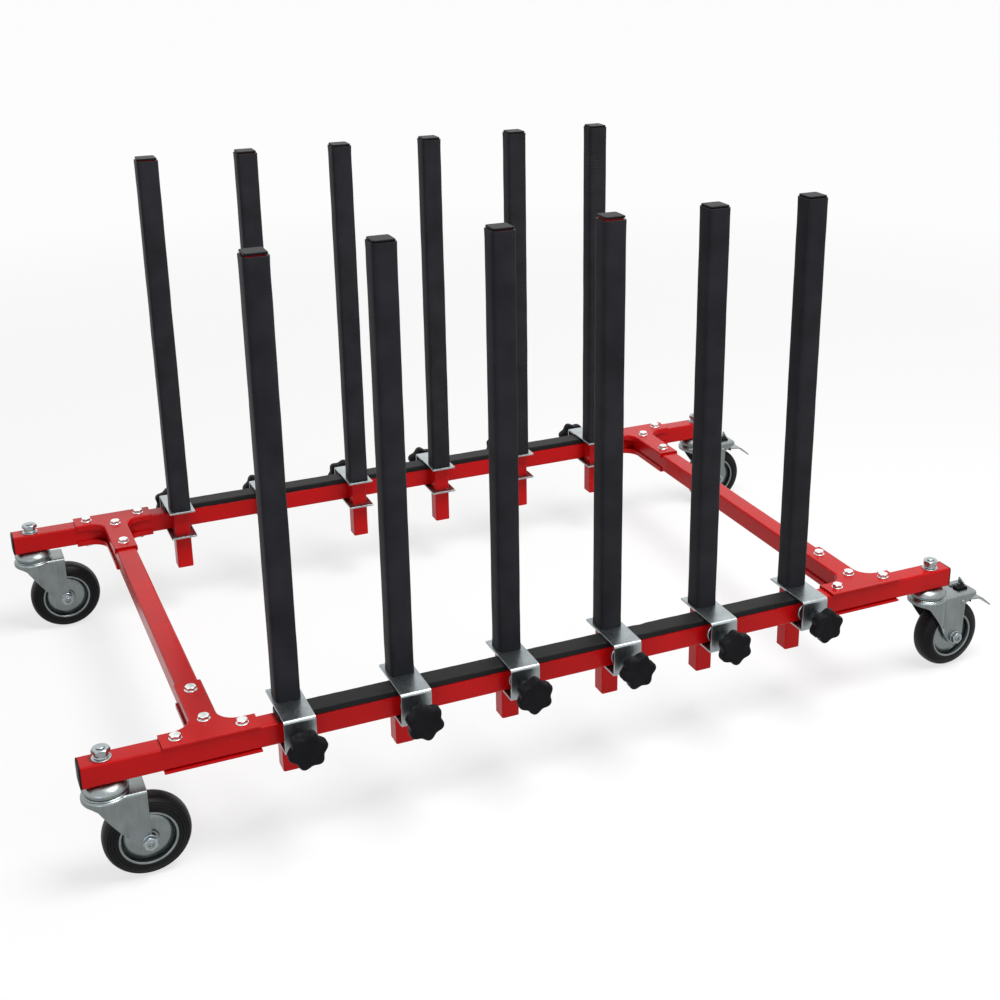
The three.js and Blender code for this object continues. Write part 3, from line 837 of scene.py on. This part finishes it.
def knob_stud(face, thread_end):
    """Threaded stud with the pressure disc on its end, along Z; the disc's face is nearest the rail."""
    disc = [(0, 0), (14.8, 0), (15.5, 0.7), (15.5, 2.3), (14.8, 3), (7, 3.2), (6.2, 5), (0, 5)]
    disc = turned([(radius, face + z) for radius, z in disc], 40, 35)
    return joined([disc, threaded_end(8, face + 4, thread_end)])


def stem_nut(foot):
    """Nut stack on the rail: a domed washer, a round collar, a hexagon over it and the thread's end."""
    collar = turned([(0, 0), (9.2, 0), (9.2, 0.8), (8.6, 1.6), (8.6, 6.5), (0, 6.5)], 32, 35)
    return joined([
        lay(washer(24, 2.5, 1.2), "Z", 0, z=foot),
        lay(collar, "Z", 0, z=foot + 2),
        lay(hexagon(20, 6.2, 2.0), "Z", 22, z=foot + 7.6),
        lay(threaded_end(11.5, 0, 3.5, 1.75), "Z", 0, z=foot + 11.9),
    ])


def fixed_race(radius, depth):
    """Pressed cup under the rail that holds the upper balls, with its swivel pin and the pin's head."""
    return turned([
        (0, -0.3), (17, -0.3), (19.5, -0.9), (22.5, -2.4), (25.3, -4.8), (27.2, -7.4), (radius, -depth + 2),
        (radius - 0.3, -depth + 0.7), (radius - 1.2, -depth), (7, -depth), (7, -19.2), (10.6, -19.2), (11, -19.6),
        (11, -22.4), (10.4, -22.8), (0, -22.8),
    ], 64, 40)


def crown_plan(inset, rear):
    """Plan of a crown: round about the stem, then drawn in to the straight sides of the legs."""
    radius = CROWN_RADIUS - inset
    side = FORK_HALF - inset
    sweep = 6 + inset
    centre = math.sqrt((radius + sweep) ** 2 - (side + sweep) ** 2)
    meet = math.degrees(math.atan2(side + sweep, centre))
    plan = [(rear, -side)]
    plan += arc((centre, -side - sweep), sweep, 90, 180 - meet, 6)
    plan += arc((0, 0), radius, -meet, meet - 360, 40)[1:-1]
    plan += arc((centre, side + sweep), sweep, 180 + meet, 270, 6)
    return plan + [(rear, side)]


def touch(point, radius, side):
    """Angle on the axle's end circle where a line from a point touches it, in degrees."""
    across, down = AXLE[0] - point[0], AXLE[1] - point[1]
    reach = math.hypot(across, down)
    return math.degrees(math.atan2(down, across) + side * (math.pi / 2 + math.asin(radius / reach)))


def fork_outline(braked):
    """Side view of a fork: the crown's skirt, the legs and their round ends about the axle."""
    rear = CROWN_REAR[braked]
    leg_top = (58, CROWN_TOP - 17) if braked else (rear, CROWN_TOP)
    leg_front = (-14, CROWN_TOP - 12)
    points = [(-CROWN_RADIUS - 1, CROWN_TOP), (rear, CROWN_TOP)]
    if braked:
        points += [(rear, CROWN_TOP - 6), (rear - 4, CROWN_TOP - 9), (63, CROWN_TOP - 15), leg_top]
    start, end = touch(leg_top, LEG_EYE, 1), touch(leg_front, LEG_EYE, -1)
    while end > start:
        end -= 360
    points += arc(AXLE, LEG_EYE, start, end, 12)
    points += [leg_front, (-20, CROWN_TOP - 9), (-CROWN_RADIUS - 1, CROWN_TOP - 7.5)]
    return points


def castor_fork(sizes, braked):
    """Pressed fork: legs and crown in one sheet, a rounded upper edge, and the lower ball race."""
    sheet = mm(sizes.fork_sheet)
    rear = CROWN_REAR[braked]
    plan = [(x, y, -140) for x, y in crown_plan(0, rear)]
    fork = prism(plan, (0, 0, 140 + CROWN_TOP))
    pick("EDGE", lambda e: at_height(CROWN_TOP)(e) and any(v.co.x < (rear - 0.1) * MM for v in e.verts))
    bevel(4, 4)
    side = prism([(x, 40, z) for x, z in fork_outline(braked)], (0, -80, 0))
    carve(fork, side, "INTERSECT")
    hollow = prism([(x, y, -150) for x, y in crown_plan(sheet, 120)], (0, 0, 150 + CROWN_TOP - sheet))
    pick("EDGE", at_height(CROWN_TOP - sheet))
    bevel(1.2, 2)
    carve(fork, hollow)
    if braked:
        window = block((49, -11, CROWN_TOP - 8), (71, 11, CROWN_TOP + 4))
        pick("EDGE", along(Z))
        bevel(3, 4)
        carve(fork, window)
    pieces = [break_edges(fork, 0.45, 2, 45)]
    if braked:
        flap = [(12.5, -1), (12.5, 9), (11, 10.2), (9, 10), (-4, 2), (-4, -1)]
        tab = prism([(71.2, y, CROWN_TOP + z) for y, z in flap], (1.7, 0, 0))
        rivet = turned([(0, 0), (3.6, 0), (3.5, 0.7), (2.6, 1.5), (1.2, 1.9), (0, 2)], 24)
        lay(rivet, "X", 90, 53, 0.1 - FORK_HALF, CROWN_TOP - 13.8)
        pieces += [break_edges(tab, 0.3), smooth(rivet, 50)]
    race = [(7.5, -0.2), (27.4, -0.2), (27.8, 0.5), (26.6, 1.6), (25.2, 2.2), (25.0, 4.5), (7.5, 4.5), (7.5, -0.2)]
    return joined(pieces + [turned([(radius, CROWN_TOP + z) for radius, z in race], 56, 35)])


def axle_bolt():
    """Axle bolt through the legs, along Z, with its drilled end and its threaded one."""
    near, far = -FORK_HALF - 5, FORK_HALF + 8
    shank = turned([
        (0, near), (4.9, near), (4.9, far), (4.1, far + 0.8), (2.1, far + 0.8), (1.8, far + 0.4), (1.5, far - 2),
        (0, far - 2),
    ], 24, 40)
    return joined([shank, lay(threaded_end(9.6, 0, 3.2, 1.5), "X", 180, z=-4.7 - FORK_HALF)])


def axle_nuts():
    """Nuts and washers of an axle bolt, outside the legs."""
    return joined([
        lay(washer(19, 1.2), "Z", 0, z=FORK_HALF - 0.1),
        lay(hexagon(16, 6.4), "Z", 8, z=FORK_HALF + 1.0),
        lay(washer(19, 1.2), "X", 180, z=0.1 - FORK_HALF),
        lay(hexagon(16, 6.0), "X", 180, z=-1.0 - FORK_HALF),
    ])


def on_axle(piece):
    """Turns what was modelled about Z to the axle."""
    return lay(piece, "X", 90, AXLE[0], 0, AXLE[1])


def wheel(half, angle):
    """A half profile of (radius, width), from the wheel's middle outwards, mirrored and spun about Z."""
    profile = [(radius, -width) for radius, width in reversed(half)] + half
    return turned(profile + profile[:1], 96, angle)


def castor_tyre(sizes):
    """Solid rubber tyre about Z: a rounded tread and moulded rings on both sides."""
    tread, rim, side = mm(sizes.wheel_radius), mm(sizes.rim_radius), mm(sizes.tyre_width) / 2
    wall = (
        (0, 2.0), (0.15, 5.0), (0.8, 8.2), (2.1, 11.2), (4.2, 13.8), (5.0, 14.3), (5.4, 13.6), (6.0, 14.5),
        (8.2, 15.7), (8.7, 15.1), (9.3, 16.1), (11.6, 16.7), (12.1, 16.1), (12.7, 16.8),
    )
    bead = [(rim + 3.2, side), (rim + 1.2, side - 0.4), (rim + 0.2, side - 1.2), (rim - 1, side - 4)]
    return wheel([(tread - drop, width) for drop, width in wall] + bead, 50)


def wheel_disc(sizes):
    """Pressed steel wheel about Z: a rolled rim, a gutter, a dished disc and the hub."""
    rim, edge = mm(sizes.rim_radius), mm(sizes.tyre_width) / 2 - 0.2
    face = (
        (1.2, 4), (-0.3, edge - 1.5), (-0.1, edge - 0.5), (0.7, edge), (2.0, edge - 0.1), (2.7, edge - 0.8),
        (2.9, 10), (3.2, 7.4), (3.9, 6.6), (4.7, 7.2), (5.2, 9.2), (6.4, 10.6), (10, 11.9), (14, 12.7), (18, 13.1),
        (21.5, 13.3), (23, 13.6), (24, 15.2), (24.3, 18.2), (25, 18.5),
    )
    return wheel([(rim - drop, width) for drop, width in face] + [(5.3, 18.5), (5.3, 4)], 38)


def brake_pedal():
    """Brake pedal bent from one strip, with a rolled eye on its pin."""
    half = PEDAL_HALF
    line = [(PEDAL_PIN[0], -20.6), (66, -25.6), (76, -33.4), (96.5, -35.6), (117.2, -53.4)]
    pedal = chain([(x, -half, z) for x, z in line])
    select_all()
    extrude(y=2 * half)
    pick("EDGE", lambda e: len(e.link_faces) == 2)
    bevel(2.6, 4)
    pick("VERT", lambda v: v.co.x > 117 * MM)
    bpy.ops.mesh.bevel(offset=4 * MM, segments=4, affect="VERTICES")
    modify(pedal, "SOLIDIFY", thickness=1.8 * MM, offset=0)
    break_edges(pedal, 0.3, 2, 50)
    eye = turned([
        (2.9, -half), (4.3, -half), (4.5, 0.2 - half), (4.5, half - 0.2), (4.3, half), (2.9, half), (2.9, -half),
    ], 28)
    return joined([pedal, smooth(lay(eye, "X", 90, PEDAL_PIN[0], 0, PEDAL_PIN[1]), 40)])


def brake_block():
    """Ribbed black plastic body of the brake, in the crown's opening."""
    top = CROWN_TOP + 4
    ribs = [(52, -19.5), (51.6, top - 2), (53.6, top)]
    for x in (56, 60, 64):
        ribs += [(x, top), (x + 0.6, top - 1.4), (x + 2, top - 1.4), (x + 2.6, top)]
    ribs += [(69, top - 0.4), (70.6, top - 3), (70.8, -19.5)]
    body = prism([(x, 2, z) for x, z in ribs], (0, -12.6, 0))
    return break_edges(body, 0.4, 2, 30)


def brake_shoe():
    """Toothed black shoe under the pedal, over the tyre."""
    teeth = [(62, -27.5), (62, -32.0)]
    for x in (65, 68, 71):
        z = -33.4 - (x - 65) * 0.5
        teeth += [(x, z), (x + 0.4, z + 1.2), (x + 1.4, z + 0.9)]
    teeth += [(75, -38.0), (75.4, -34.8), (74, -32.6)]
    shoe = prism([(x, PEDAL_HALF, z) for x, z in teeth], (0, -2 * PEDAL_HALF, 0))
    return break_edges(shoe, 0.3, 2, 30)


class CART_OT_rails(bpy.types.Operator):
    """Side rails, cross rails and the plugs in the ends of the side rails"""

    bl_idname = "cart.make_rails"
    bl_label = "Rails"

    def execute(self, context):
        sizes, colours = choices(context)
        paint, nylon = red_powder_coat(colours), moulded_nylon(colours)
        size, corner, wall = mm(sizes.tube), mm(sizes.tube_corner), mm(sizes.tube_wall)
        flange = mm(sizes.plug_flange)
        low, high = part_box("front_side_rail")
        half = mm(high.x - low.x) / 2 - flange * PLUG_RIM
        side_tube = square_tube(2 * half, size, corner, wall, X)
        plug = end_plug(size, corner, flange, wall)
        for side in SIDES:
            centre = Matrix.Translation(middle(side + "_side_rail"))
            put(side_tube, side + "_rail_tube", centre, "frame", "red_powder_coat", paint, side + "_side_rail")
            for end, turn in ENDS.items():
                place = centre @ Matrix.Rotation(turn, 4, "Z") @ Matrix.Translation((-half * MM, 0, 0))
                put(plug, f"{side}_{end}_end_plug", place, "frame", "knob_plastic", nylon)
        low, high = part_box("left_cross_rail")
        cross_tube = square_tube(mm(high.y - low.y), size, corner, wall, Y)
        for end in ENDS:
            place = Matrix.Translation(middle(end + "_cross_rail"))
            put(cross_tube, end + "_cross_tube", place, "frame", "red_powder_coat", paint, end + "_cross_rail")
        throw_away(side_tube, plug, cross_tube)
        return {"FINISHED"}


class CART_OT_corner_plates(bpy.types.Operator):
    """T-shaped plates above and below each corner of the frame, and their bolts"""

    bl_idname = "cart.make_corner_plates"
    bl_label = "Corner plates"

    def execute(self, context):
        sizes, colours = choices(context)
        paint, zinc = red_powder_coat(colours), fastener_zinc(colours)
        plate, bolt = tee_plate(sizes), plate_bolt(sizes)
        bolts = joined([
            copy(bolt, "bolt", Matrix.Translation((x * MM, y * MM, 0)) @ Matrix.Rotation(0.7 * number, 4, "Z"))
            for number, (x, y) in enumerate(PLATE_BOLTS)
        ])
        under = Matrix.Rotation(math.pi, 4, "Y")
        for side, end in CORNERS:
            corner, place = f"{side}_{end}", corner_place(side, end)
            put(plate, corner + "_upper_plate", place, "frame", "red_powder_coat", paint, corner + "_corner_plates")
            put(plate, corner + "_lower_plate", place @ under, "frame", "red_powder_coat", paint)
            put(bolts, corner + "_plate_bolts", place, "frame", "zinc_plate", zinc)
        throw_away(plate, bolt, bolts)
        return {"FINISHED"}


class CART_OT_rail_pads(bpy.types.Operator):
    """Rubber strips on the tops of the side rails"""

    bl_idname = "cart.make_rail_pads"
    bl_label = "Rubber strips"

    def execute(self, context):
        sizes, colours = choices(context)
        rubber = strip_rubber(colours)
        low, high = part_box("front_rail_pad")
        pattern = rubber_strip(sizes, mm(high.x - low.x))
        for seed, side in enumerate(SIDES, STRIP_SEED):
            seat = middle(side + "_rail_pad")
            seat.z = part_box(side + "_rail_pad")[0].z
            pad = copy(pattern, side + "_rubber_strip", Matrix.Translation(seat))
            edit(pad)
            upper = seat.z + 2 * MM
            joint = seat.x + STRIP_JOINTS[side] * MM
            for reach, squeeze in ((5.1, (0.12, 1, 1)), (0.4, (1, 0.97, 0.9))):
                pick("VERT", lambda v: abs(v.co.x - joint) < reach * MM and v.co.z > upper)
                bpy.ops.transform.resize(value=squeeze, center_override=(joint, seat.y, seat.z))
            pick("VERT", lambda v: v.co.z > upper)
            bpy.ops.transform.vertex_random(offset=0.18 * MM, uniform=0.0, normal=0.3, seed=seed)
            smooth(pad, 45)
            give(pad, "frame", "rail_pad_rubber", rubber, side + "_rail_pad")
        throw_away(pattern)
        return {"FINISHED"}


class CART_OT_uprights(bpy.types.Operator):
    """Post tubes with their foam sleeves and top plugs"""

    bl_idname = "cart.make_uprights"
    bl_label = "Uprights"

    def execute(self, context):
        sizes, colours = choices(context)
        paint, nylon = red_powder_coat(colours), moulded_nylon(colours)
        foam, crumpled = sleeve_foam(colours), sleeve_foam(colours, wrinkled=True)
        height, across = rail_foot("front")
        line = mm(abs(middle("front_post_1").y - across))
        low, high = (mm(corner.z - height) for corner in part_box("front_post_1"))
        foot = mm(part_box("front_clamp_bracket_1")[1].z - height) + 0.2
        rim = high - CAP_DEPTH
        span = rim + SLEEVE_LAP - foot
        wall = mm(sizes.tube_wall)
        tube = square_tube(rim - low, mm(sizes.post_tube), 2.5, wall, Z)
        lay(tube, "Z", 0, 0, line, (rim + low) / 2)
        sleeve = lay(foam_sleeve(sizes, foot, rim + SLEEVE_LAP), "Z", 0, 0, line, 0)
        inside = mm(sizes.post_tube) - 2 * wall - 0.2
        cap = lay(post_cap(mm(sizes.post_plug), rim, high, inside), "Z", 0, 0, line, 0)
        settle = Matrix.Translation((0, 0, foot * MM))
        for side, number in UPRIGHTS:
            body, place = f"{side}_upright_{number}", upright_place(side, number)
            put(tube, f"{side}_post_tube_{number}", place, body, "red_powder_coat", paint)
            put(cap, f"{side}_post_plug_{number}", place, body, "knob_plastic", nylon)
            squeeze = Matrix.Diagonal((1, 1, 1 - SLEEVE_DROPS[side][number - 1] / span, 1))
            padding = copy(sleeve, f"{side}_foam_sleeve_{number}", place @ settle @ squeeze @ settle.inverted())
            edit(padding)
            pick("VERT", lambda v: height + (foot + 3) * MM < v.co.z < height + (high - 12) * MM)
            seed = number + (REAR_SEED if side == "rear" else 0)
            bpy.ops.transform.vertex_random(offset=0.55 * MM, uniform=0.0, normal=0.5, seed=seed)
            bpy.ops.mesh.vertices_smooth(factor=0.5, repeat=3)
            smooth(padding, 50)
            finish = crumpled if (side, number) == ("rear", 6) else foam
            give(padding, body, "post_sleeve_foam", finish, f"{side}_post_{number}")
        throw_away(tube, sleeve, cap)
        return {"FINISHED"}


class CART_OT_clamp_brackets(bpy.types.Operator):
    """C-shaped brackets that clamp the uprights to the side rails"""

    bl_idname = "cart.make_clamp_brackets"
    bl_label = "Clamp brackets"

    def execute(self, context):
        sizes, colours = choices(context)
        zinc = sheet_zinc(colours)
        height, across = rail_foot("front")
        low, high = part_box("front_clamp_bracket_1")
        line = mm(middle("front_post_1").y - across)
        pattern = clamp_bracket(
            sizes, mm(high.z - height), mm(low.z - height), mm(low.y - across), mm(high.y - across), line
        )
        for side, number in UPRIGHTS:
            body, place = f"{side}_upright_{number}", upright_place(side, number)
            node = f"{side}_clamp_bracket_{number}"
            put(pattern, f"{side}_bracket_{number}", place, body, "zinc_plate", zinc, node)
        throw_away(pattern)
        return {"FINISHED"}


class CART_OT_star_knobs(bpy.types.Operator):
    """Star knobs on their studs, with the discs that press on the rails"""

    bl_idname = "cart.make_star_knobs"
    bl_label = "Star knobs"

    def execute(self, context):
        sizes, colours = choices(context)
        nylon, zinc = moulded_nylon(colours), sheet_zinc(colours)
        across = rail_foot("front")[1]
        low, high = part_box("front_star_knob_1")
        start = mm(across - low.y) - KNOB_HEAD - KNOB_NECK
        knob = star_knob(sizes, start)
        stud = knob_stud(mm(across - high.y), start + 6)
        axis = Matrix.Translation((0, 0, sizes.tube / 2)) @ Matrix.Rotation(math.pi / 2, 4, "X")
        for side, number in UPRIGHTS:
            body = f"{side}_knob_{number}"
            turn = Matrix.Rotation(math.radians(KNOB_TURNS[side][number - 1]), 4, "Z")
            place = upright_place(side, number) @ axis @ turn
            put(knob, f"{side}_knob_{number}", place, body, "knob_plastic", nylon, f"{side}_star_knob_{number}")
            put(stud, f"{side}_knob_stud_{number}", place, body, "zinc_plate", zinc)
        throw_away(knob, stud)
        return {"FINISHED"}


class CART_OT_castor_stems(bpy.types.Operator):
    """Castor stems with their fixed races under the rails and their nuts on top"""

    bl_idname = "cart.make_castor_stems"
    bl_label = "Castor stems"

    def execute(self, context):
        sizes, colours = choices(context)
        # dull is the castor zinc with painted shade, darker than the bright zinc
        bright, dull = sheet_zinc(colours), shaded_pressing_zinc(colours)
        race = fixed_race(28, 11)
        nut = stem_nut(mm(sizes.tube) + 0.1)
        for side, end in CORNERS:
            castor = f"{side}_{end}"
            place = Matrix.Translation(castor_place(side, end).translation)
            put(race, castor + "_stem_race", place, "frame", "zinc_plate", dull, castor + "_castor_stem")
            put(nut, castor + "_stem_nut", place, "frame", "zinc_plate", bright)
        throw_away(race, nut)
        return {"FINISHED"}


class CART_OT_castor_forks(bpy.types.Operator):
    """Castor forks with their axles, plain on the left and braked on the right"""

    bl_idname = "cart.make_castor_forks"
    bl_label = "Castor forks"

    def execute(self, context):
        sizes, colours = choices(context)
        # dull is the castor zinc with painted shade, darker than the bright zinc
        dull, bright = shaded_pressing_zinc(colours), sheet_zinc(colours)
        forks = {"left": castor_fork(sizes, False), "right": castor_fork(sizes, True)}
        axle, nuts = on_axle(axle_bolt()), on_axle(axle_nuts())
        for side, end in CORNERS:
            castor, place = f"{side}_{end}_castor", castor_place(side, end)
            put(forks[end], f"{side}_{end}_fork", place, castor, "zinc_plate", dull, castor + "_fork")
            put(axle, f"{side}_{end}_axle", place, castor, "zinc_plate", dull)
            put(nuts, f"{side}_{end}_axle_nuts", place, castor, "zinc_plate", bright)
        throw_away(*forks.values(), axle, nuts)
        return {"FINISHED"}


class CART_OT_castor_wheels(bpy.types.Operator):
    """Castor wheels: pressed steel discs in rubber tyres"""

    bl_idname = "cart.make_castor_wheels"
    bl_label = "Castor wheels"

    def execute(self, context):
        sizes, colours = choices(context)
        zinc, rubber = shaded_pressing_zinc(colours), tyre_rubber(colours)
        tyre, disc = on_axle(castor_tyre(sizes)), on_axle(wheel_disc(sizes))
        for side, end in CORNERS:
            castor, place = f"{side}_{end}", castor_place(side, end)
            put(tyre, castor + "_tyre", place, castor + "_wheel", "tyre_rubber", rubber, castor + "_castor_wheel")
            put(disc, castor + "_wheel_disc", place, castor + "_wheel", "zinc_plate", zinc)
        throw_away(tyre, disc)
        return {"FINISHED"}


class CART_OT_brakes(bpy.types.Operator):
    """Brake pedals of the right-hand castors, with their plastic bodies"""

    bl_idname = "cart.make_brakes"
    bl_label = "Brakes"

    def execute(self, context):
        colours = choices(context)[1]
        zinc, nylon = shaded_pressing_zinc(colours), moulded_nylon(colours)
        pedal, block_body, shoe = brake_pedal(), brake_block(), brake_shoe()
        for side in SIDES:
            castor, place = side + "_right", castor_place(side, "right")
            brake = castor + "_brake"
            put(pedal, castor + "_pedal", place, brake, "zinc_plate", zinc, brake + "_pedal")
            put(shoe, brake + "_shoe", place, brake, "knob_plastic", nylon)
            put(block_body, brake + "_block", place, castor + "_castor", "knob_plastic", nylon)
        throw_away(pedal, block_body, shoe)
        return {"FINISHED"}


def background_rays(tree):
    """Node that gives 1 for the rays that show the background: from the camera, in a reflection or through glass."""
    path = add(tree, "LightPath").outputs
    seen = add(tree, "Math", {0: path["Is Camera Ray"], 1: path["Is Glossy Ray"]}, operation="MAXIMUM")
    seen = add(tree, "Math", {0: seen, 1: path["Is Transmission Ray"]}, operation="MAXIMUM")
    return seen


class CART_OT_stage(bpy.types.Operator):
    """Pale floor, soft studio light and the camera"""

    bl_idname = "cart.make_stage"
    bl_label = "Stage"

    def execute(self, context):
        colours = choices(context)[1]
        floor = added(
            bpy.ops.mesh.primitive_circle_add, vertices=64, radius=40, fill_type="NGON", location=(0, 0, -0.0005)
        )
        floor.name = "studio_floor"
        material, tree, place = surface("matt_studio_floor")
        # Matt painted board: plain and pale, with the object's shadow. Part of its white is its own, for rays that
        # show the background, and more of it far out, where the lamps no longer reach.
        cloud = add(tree, "TexNoise", {"Vector": place, "Scale": 1 / (300 * MM), "Detail": 2.0})
        matt = {"Roughness": 0.9, "Specular IOR Level": 0.0}
        board = coat(tree, colours.floor, cloud, (0.98, 1.0), matt)
        distance = add(tree, "VectorMath", {0: place}, operation="LENGTH")
        share = add(tree, "MapRange", {
            "Value": distance.outputs["Value"], "From Min": 1.0, "From Max": 3.5, "To Min": 0.72, "To Max": 0.97,
        })
        share = add(tree, "Math", {0: background_rays(tree), 1: share}, operation="MULTIPLY")
        glow = add(tree, "Emission", {"Color": (1, 1, 1, 1), "Strength": 1.0})
        mixed = add(tree, "MixShader", {0: share, 1: board, 2: glow})
        add(tree, "OutputMaterial", {"Surface": mixed})
        floor.data.materials.append(material)

        world = bpy.data.worlds.new("studio")
        context.scene.world = world
        world.use_nodes = True
        sky = world.node_tree
        sky.nodes.clear()
        strength = add(sky, "MapRange", {"Value": background_rays(sky), "To Min": 0.3, "To Max": 1.6})
        backdrop = add(sky, "Background", {"Color": (1, 1, 1, 1), "Strength": strength})
        add(sky, "OutputWorld", {"Surface": backdrop})

        for name, spot, size, power, tint in LAMPS:
            lamp = added(bpy.ops.object.light_add, type="AREA", location=spot)
            lamp.name = name + "_softbox"
            lamp.data.size = size
            lamp.data.energy = power
            lamp.data.color = linear(tint)
            lamp.rotation_euler = (LAMPS_AIM - Vector(spot)).to_track_quat("-Z", "Y").to_euler()

        right, up = CAMERA_AIM
        target = Vector((middle("front_side_rail").x + right * MM, 0, rail_foot("front")[0] + up * MM))
        azimuth, elevation, roll = map(math.radians, (CAMERA_AZIMUTH, CAMERA_ELEVATION, CAMERA_ROLL))
        away = Vector((
            math.sin(azimuth) * math.cos(elevation), -math.cos(azimuth) * math.cos(elevation), math.sin(elevation)
        ))
        turn = Matrix.Rotation(azimuth, 3, "Z") @ Matrix.Rotation(math.pi / 2 - elevation, 3, "X")
        turn = turn @ Matrix.Rotation(roll, 3, "Z")
        spot = target + CAMERA_REACH * away
        camera = added(bpy.ops.object.camera_add, location=spot, rotation=turn.to_euler())
        camera.data.sensor_width = 36
        camera.data.lens = CAMERA_LENS
        camera.data.shift_x, camera.data.shift_y = CAMERA_SHIFT
        context.scene.camera = camera
        context.scene.view_settings.view_transform = "Standard"
        return {"FINISHED"}


PIECE_OPERATORS = (
    CART_OT_rails,
    CART_OT_corner_plates,
    CART_OT_rail_pads,
    CART_OT_uprights,
    CART_OT_clamp_brackets,
    CART_OT_star_knobs,
    CART_OT_castor_stems,
    CART_OT_castor_forks,
    CART_OT_castor_wheels,
    CART_OT_brakes,
    CART_OT_stage,
)


class CART_PT_panel(bpy.types.Panel):
    """Lists the cart's pieces and the sizes and colours that they are made to"""

    bl_idname = "CART_PT_panel"
    bl_label = "Sheet goods cart"
    bl_space_type = "VIEW_3D"
    bl_region_type = "UI"
    bl_category = "Cart"

    def draw(self, context):
        for operator in PIECE_OPERATORS:
            self.layout.operator(operator.bl_idname)
        for group in (context.scene.cart_sizes, context.scene.cart_colours):
            column = self.layout.column()
            for name in group.__annotations__:
                column.prop(group, name)


CLASSES = (CartSizes, CartColours) + PIECE_OPERATORS + (CART_PT_panel,)


def register():
    for cls in CLASSES:
        bpy.utils.register_class(cls)
    bpy.types.Scene.cart_sizes = bpy.props.PointerProperty(type=CartSizes)
    bpy.types.Scene.cart_colours = bpy.props.PointerProperty(type=CartColours)


def unregister():
    del bpy.types.Scene.cart_colours
    del bpy.types.Scene.cart_sizes
    for cls in reversed(CLASSES):
        bpy.utils.unregister_class(cls)


def main():
    register()
    bpy.ops.cart.make_rails()
    bpy.ops.cart.make_corner_plates()
    bpy.ops.cart.make_rail_pads()
    bpy.ops.cart.make_uprights()
    bpy.ops.cart.make_clamp_brackets()
    bpy.ops.cart.make_star_knobs()
    bpy.ops.cart.make_castor_stems()
    bpy.ops.cart.make_castor_forks()
    bpy.ops.cart.make_castor_wheels()
    bpy.ops.cart.make_brakes()
    bpy.ops.cart.make_stage()


if __name__ == "__main__":
    main()
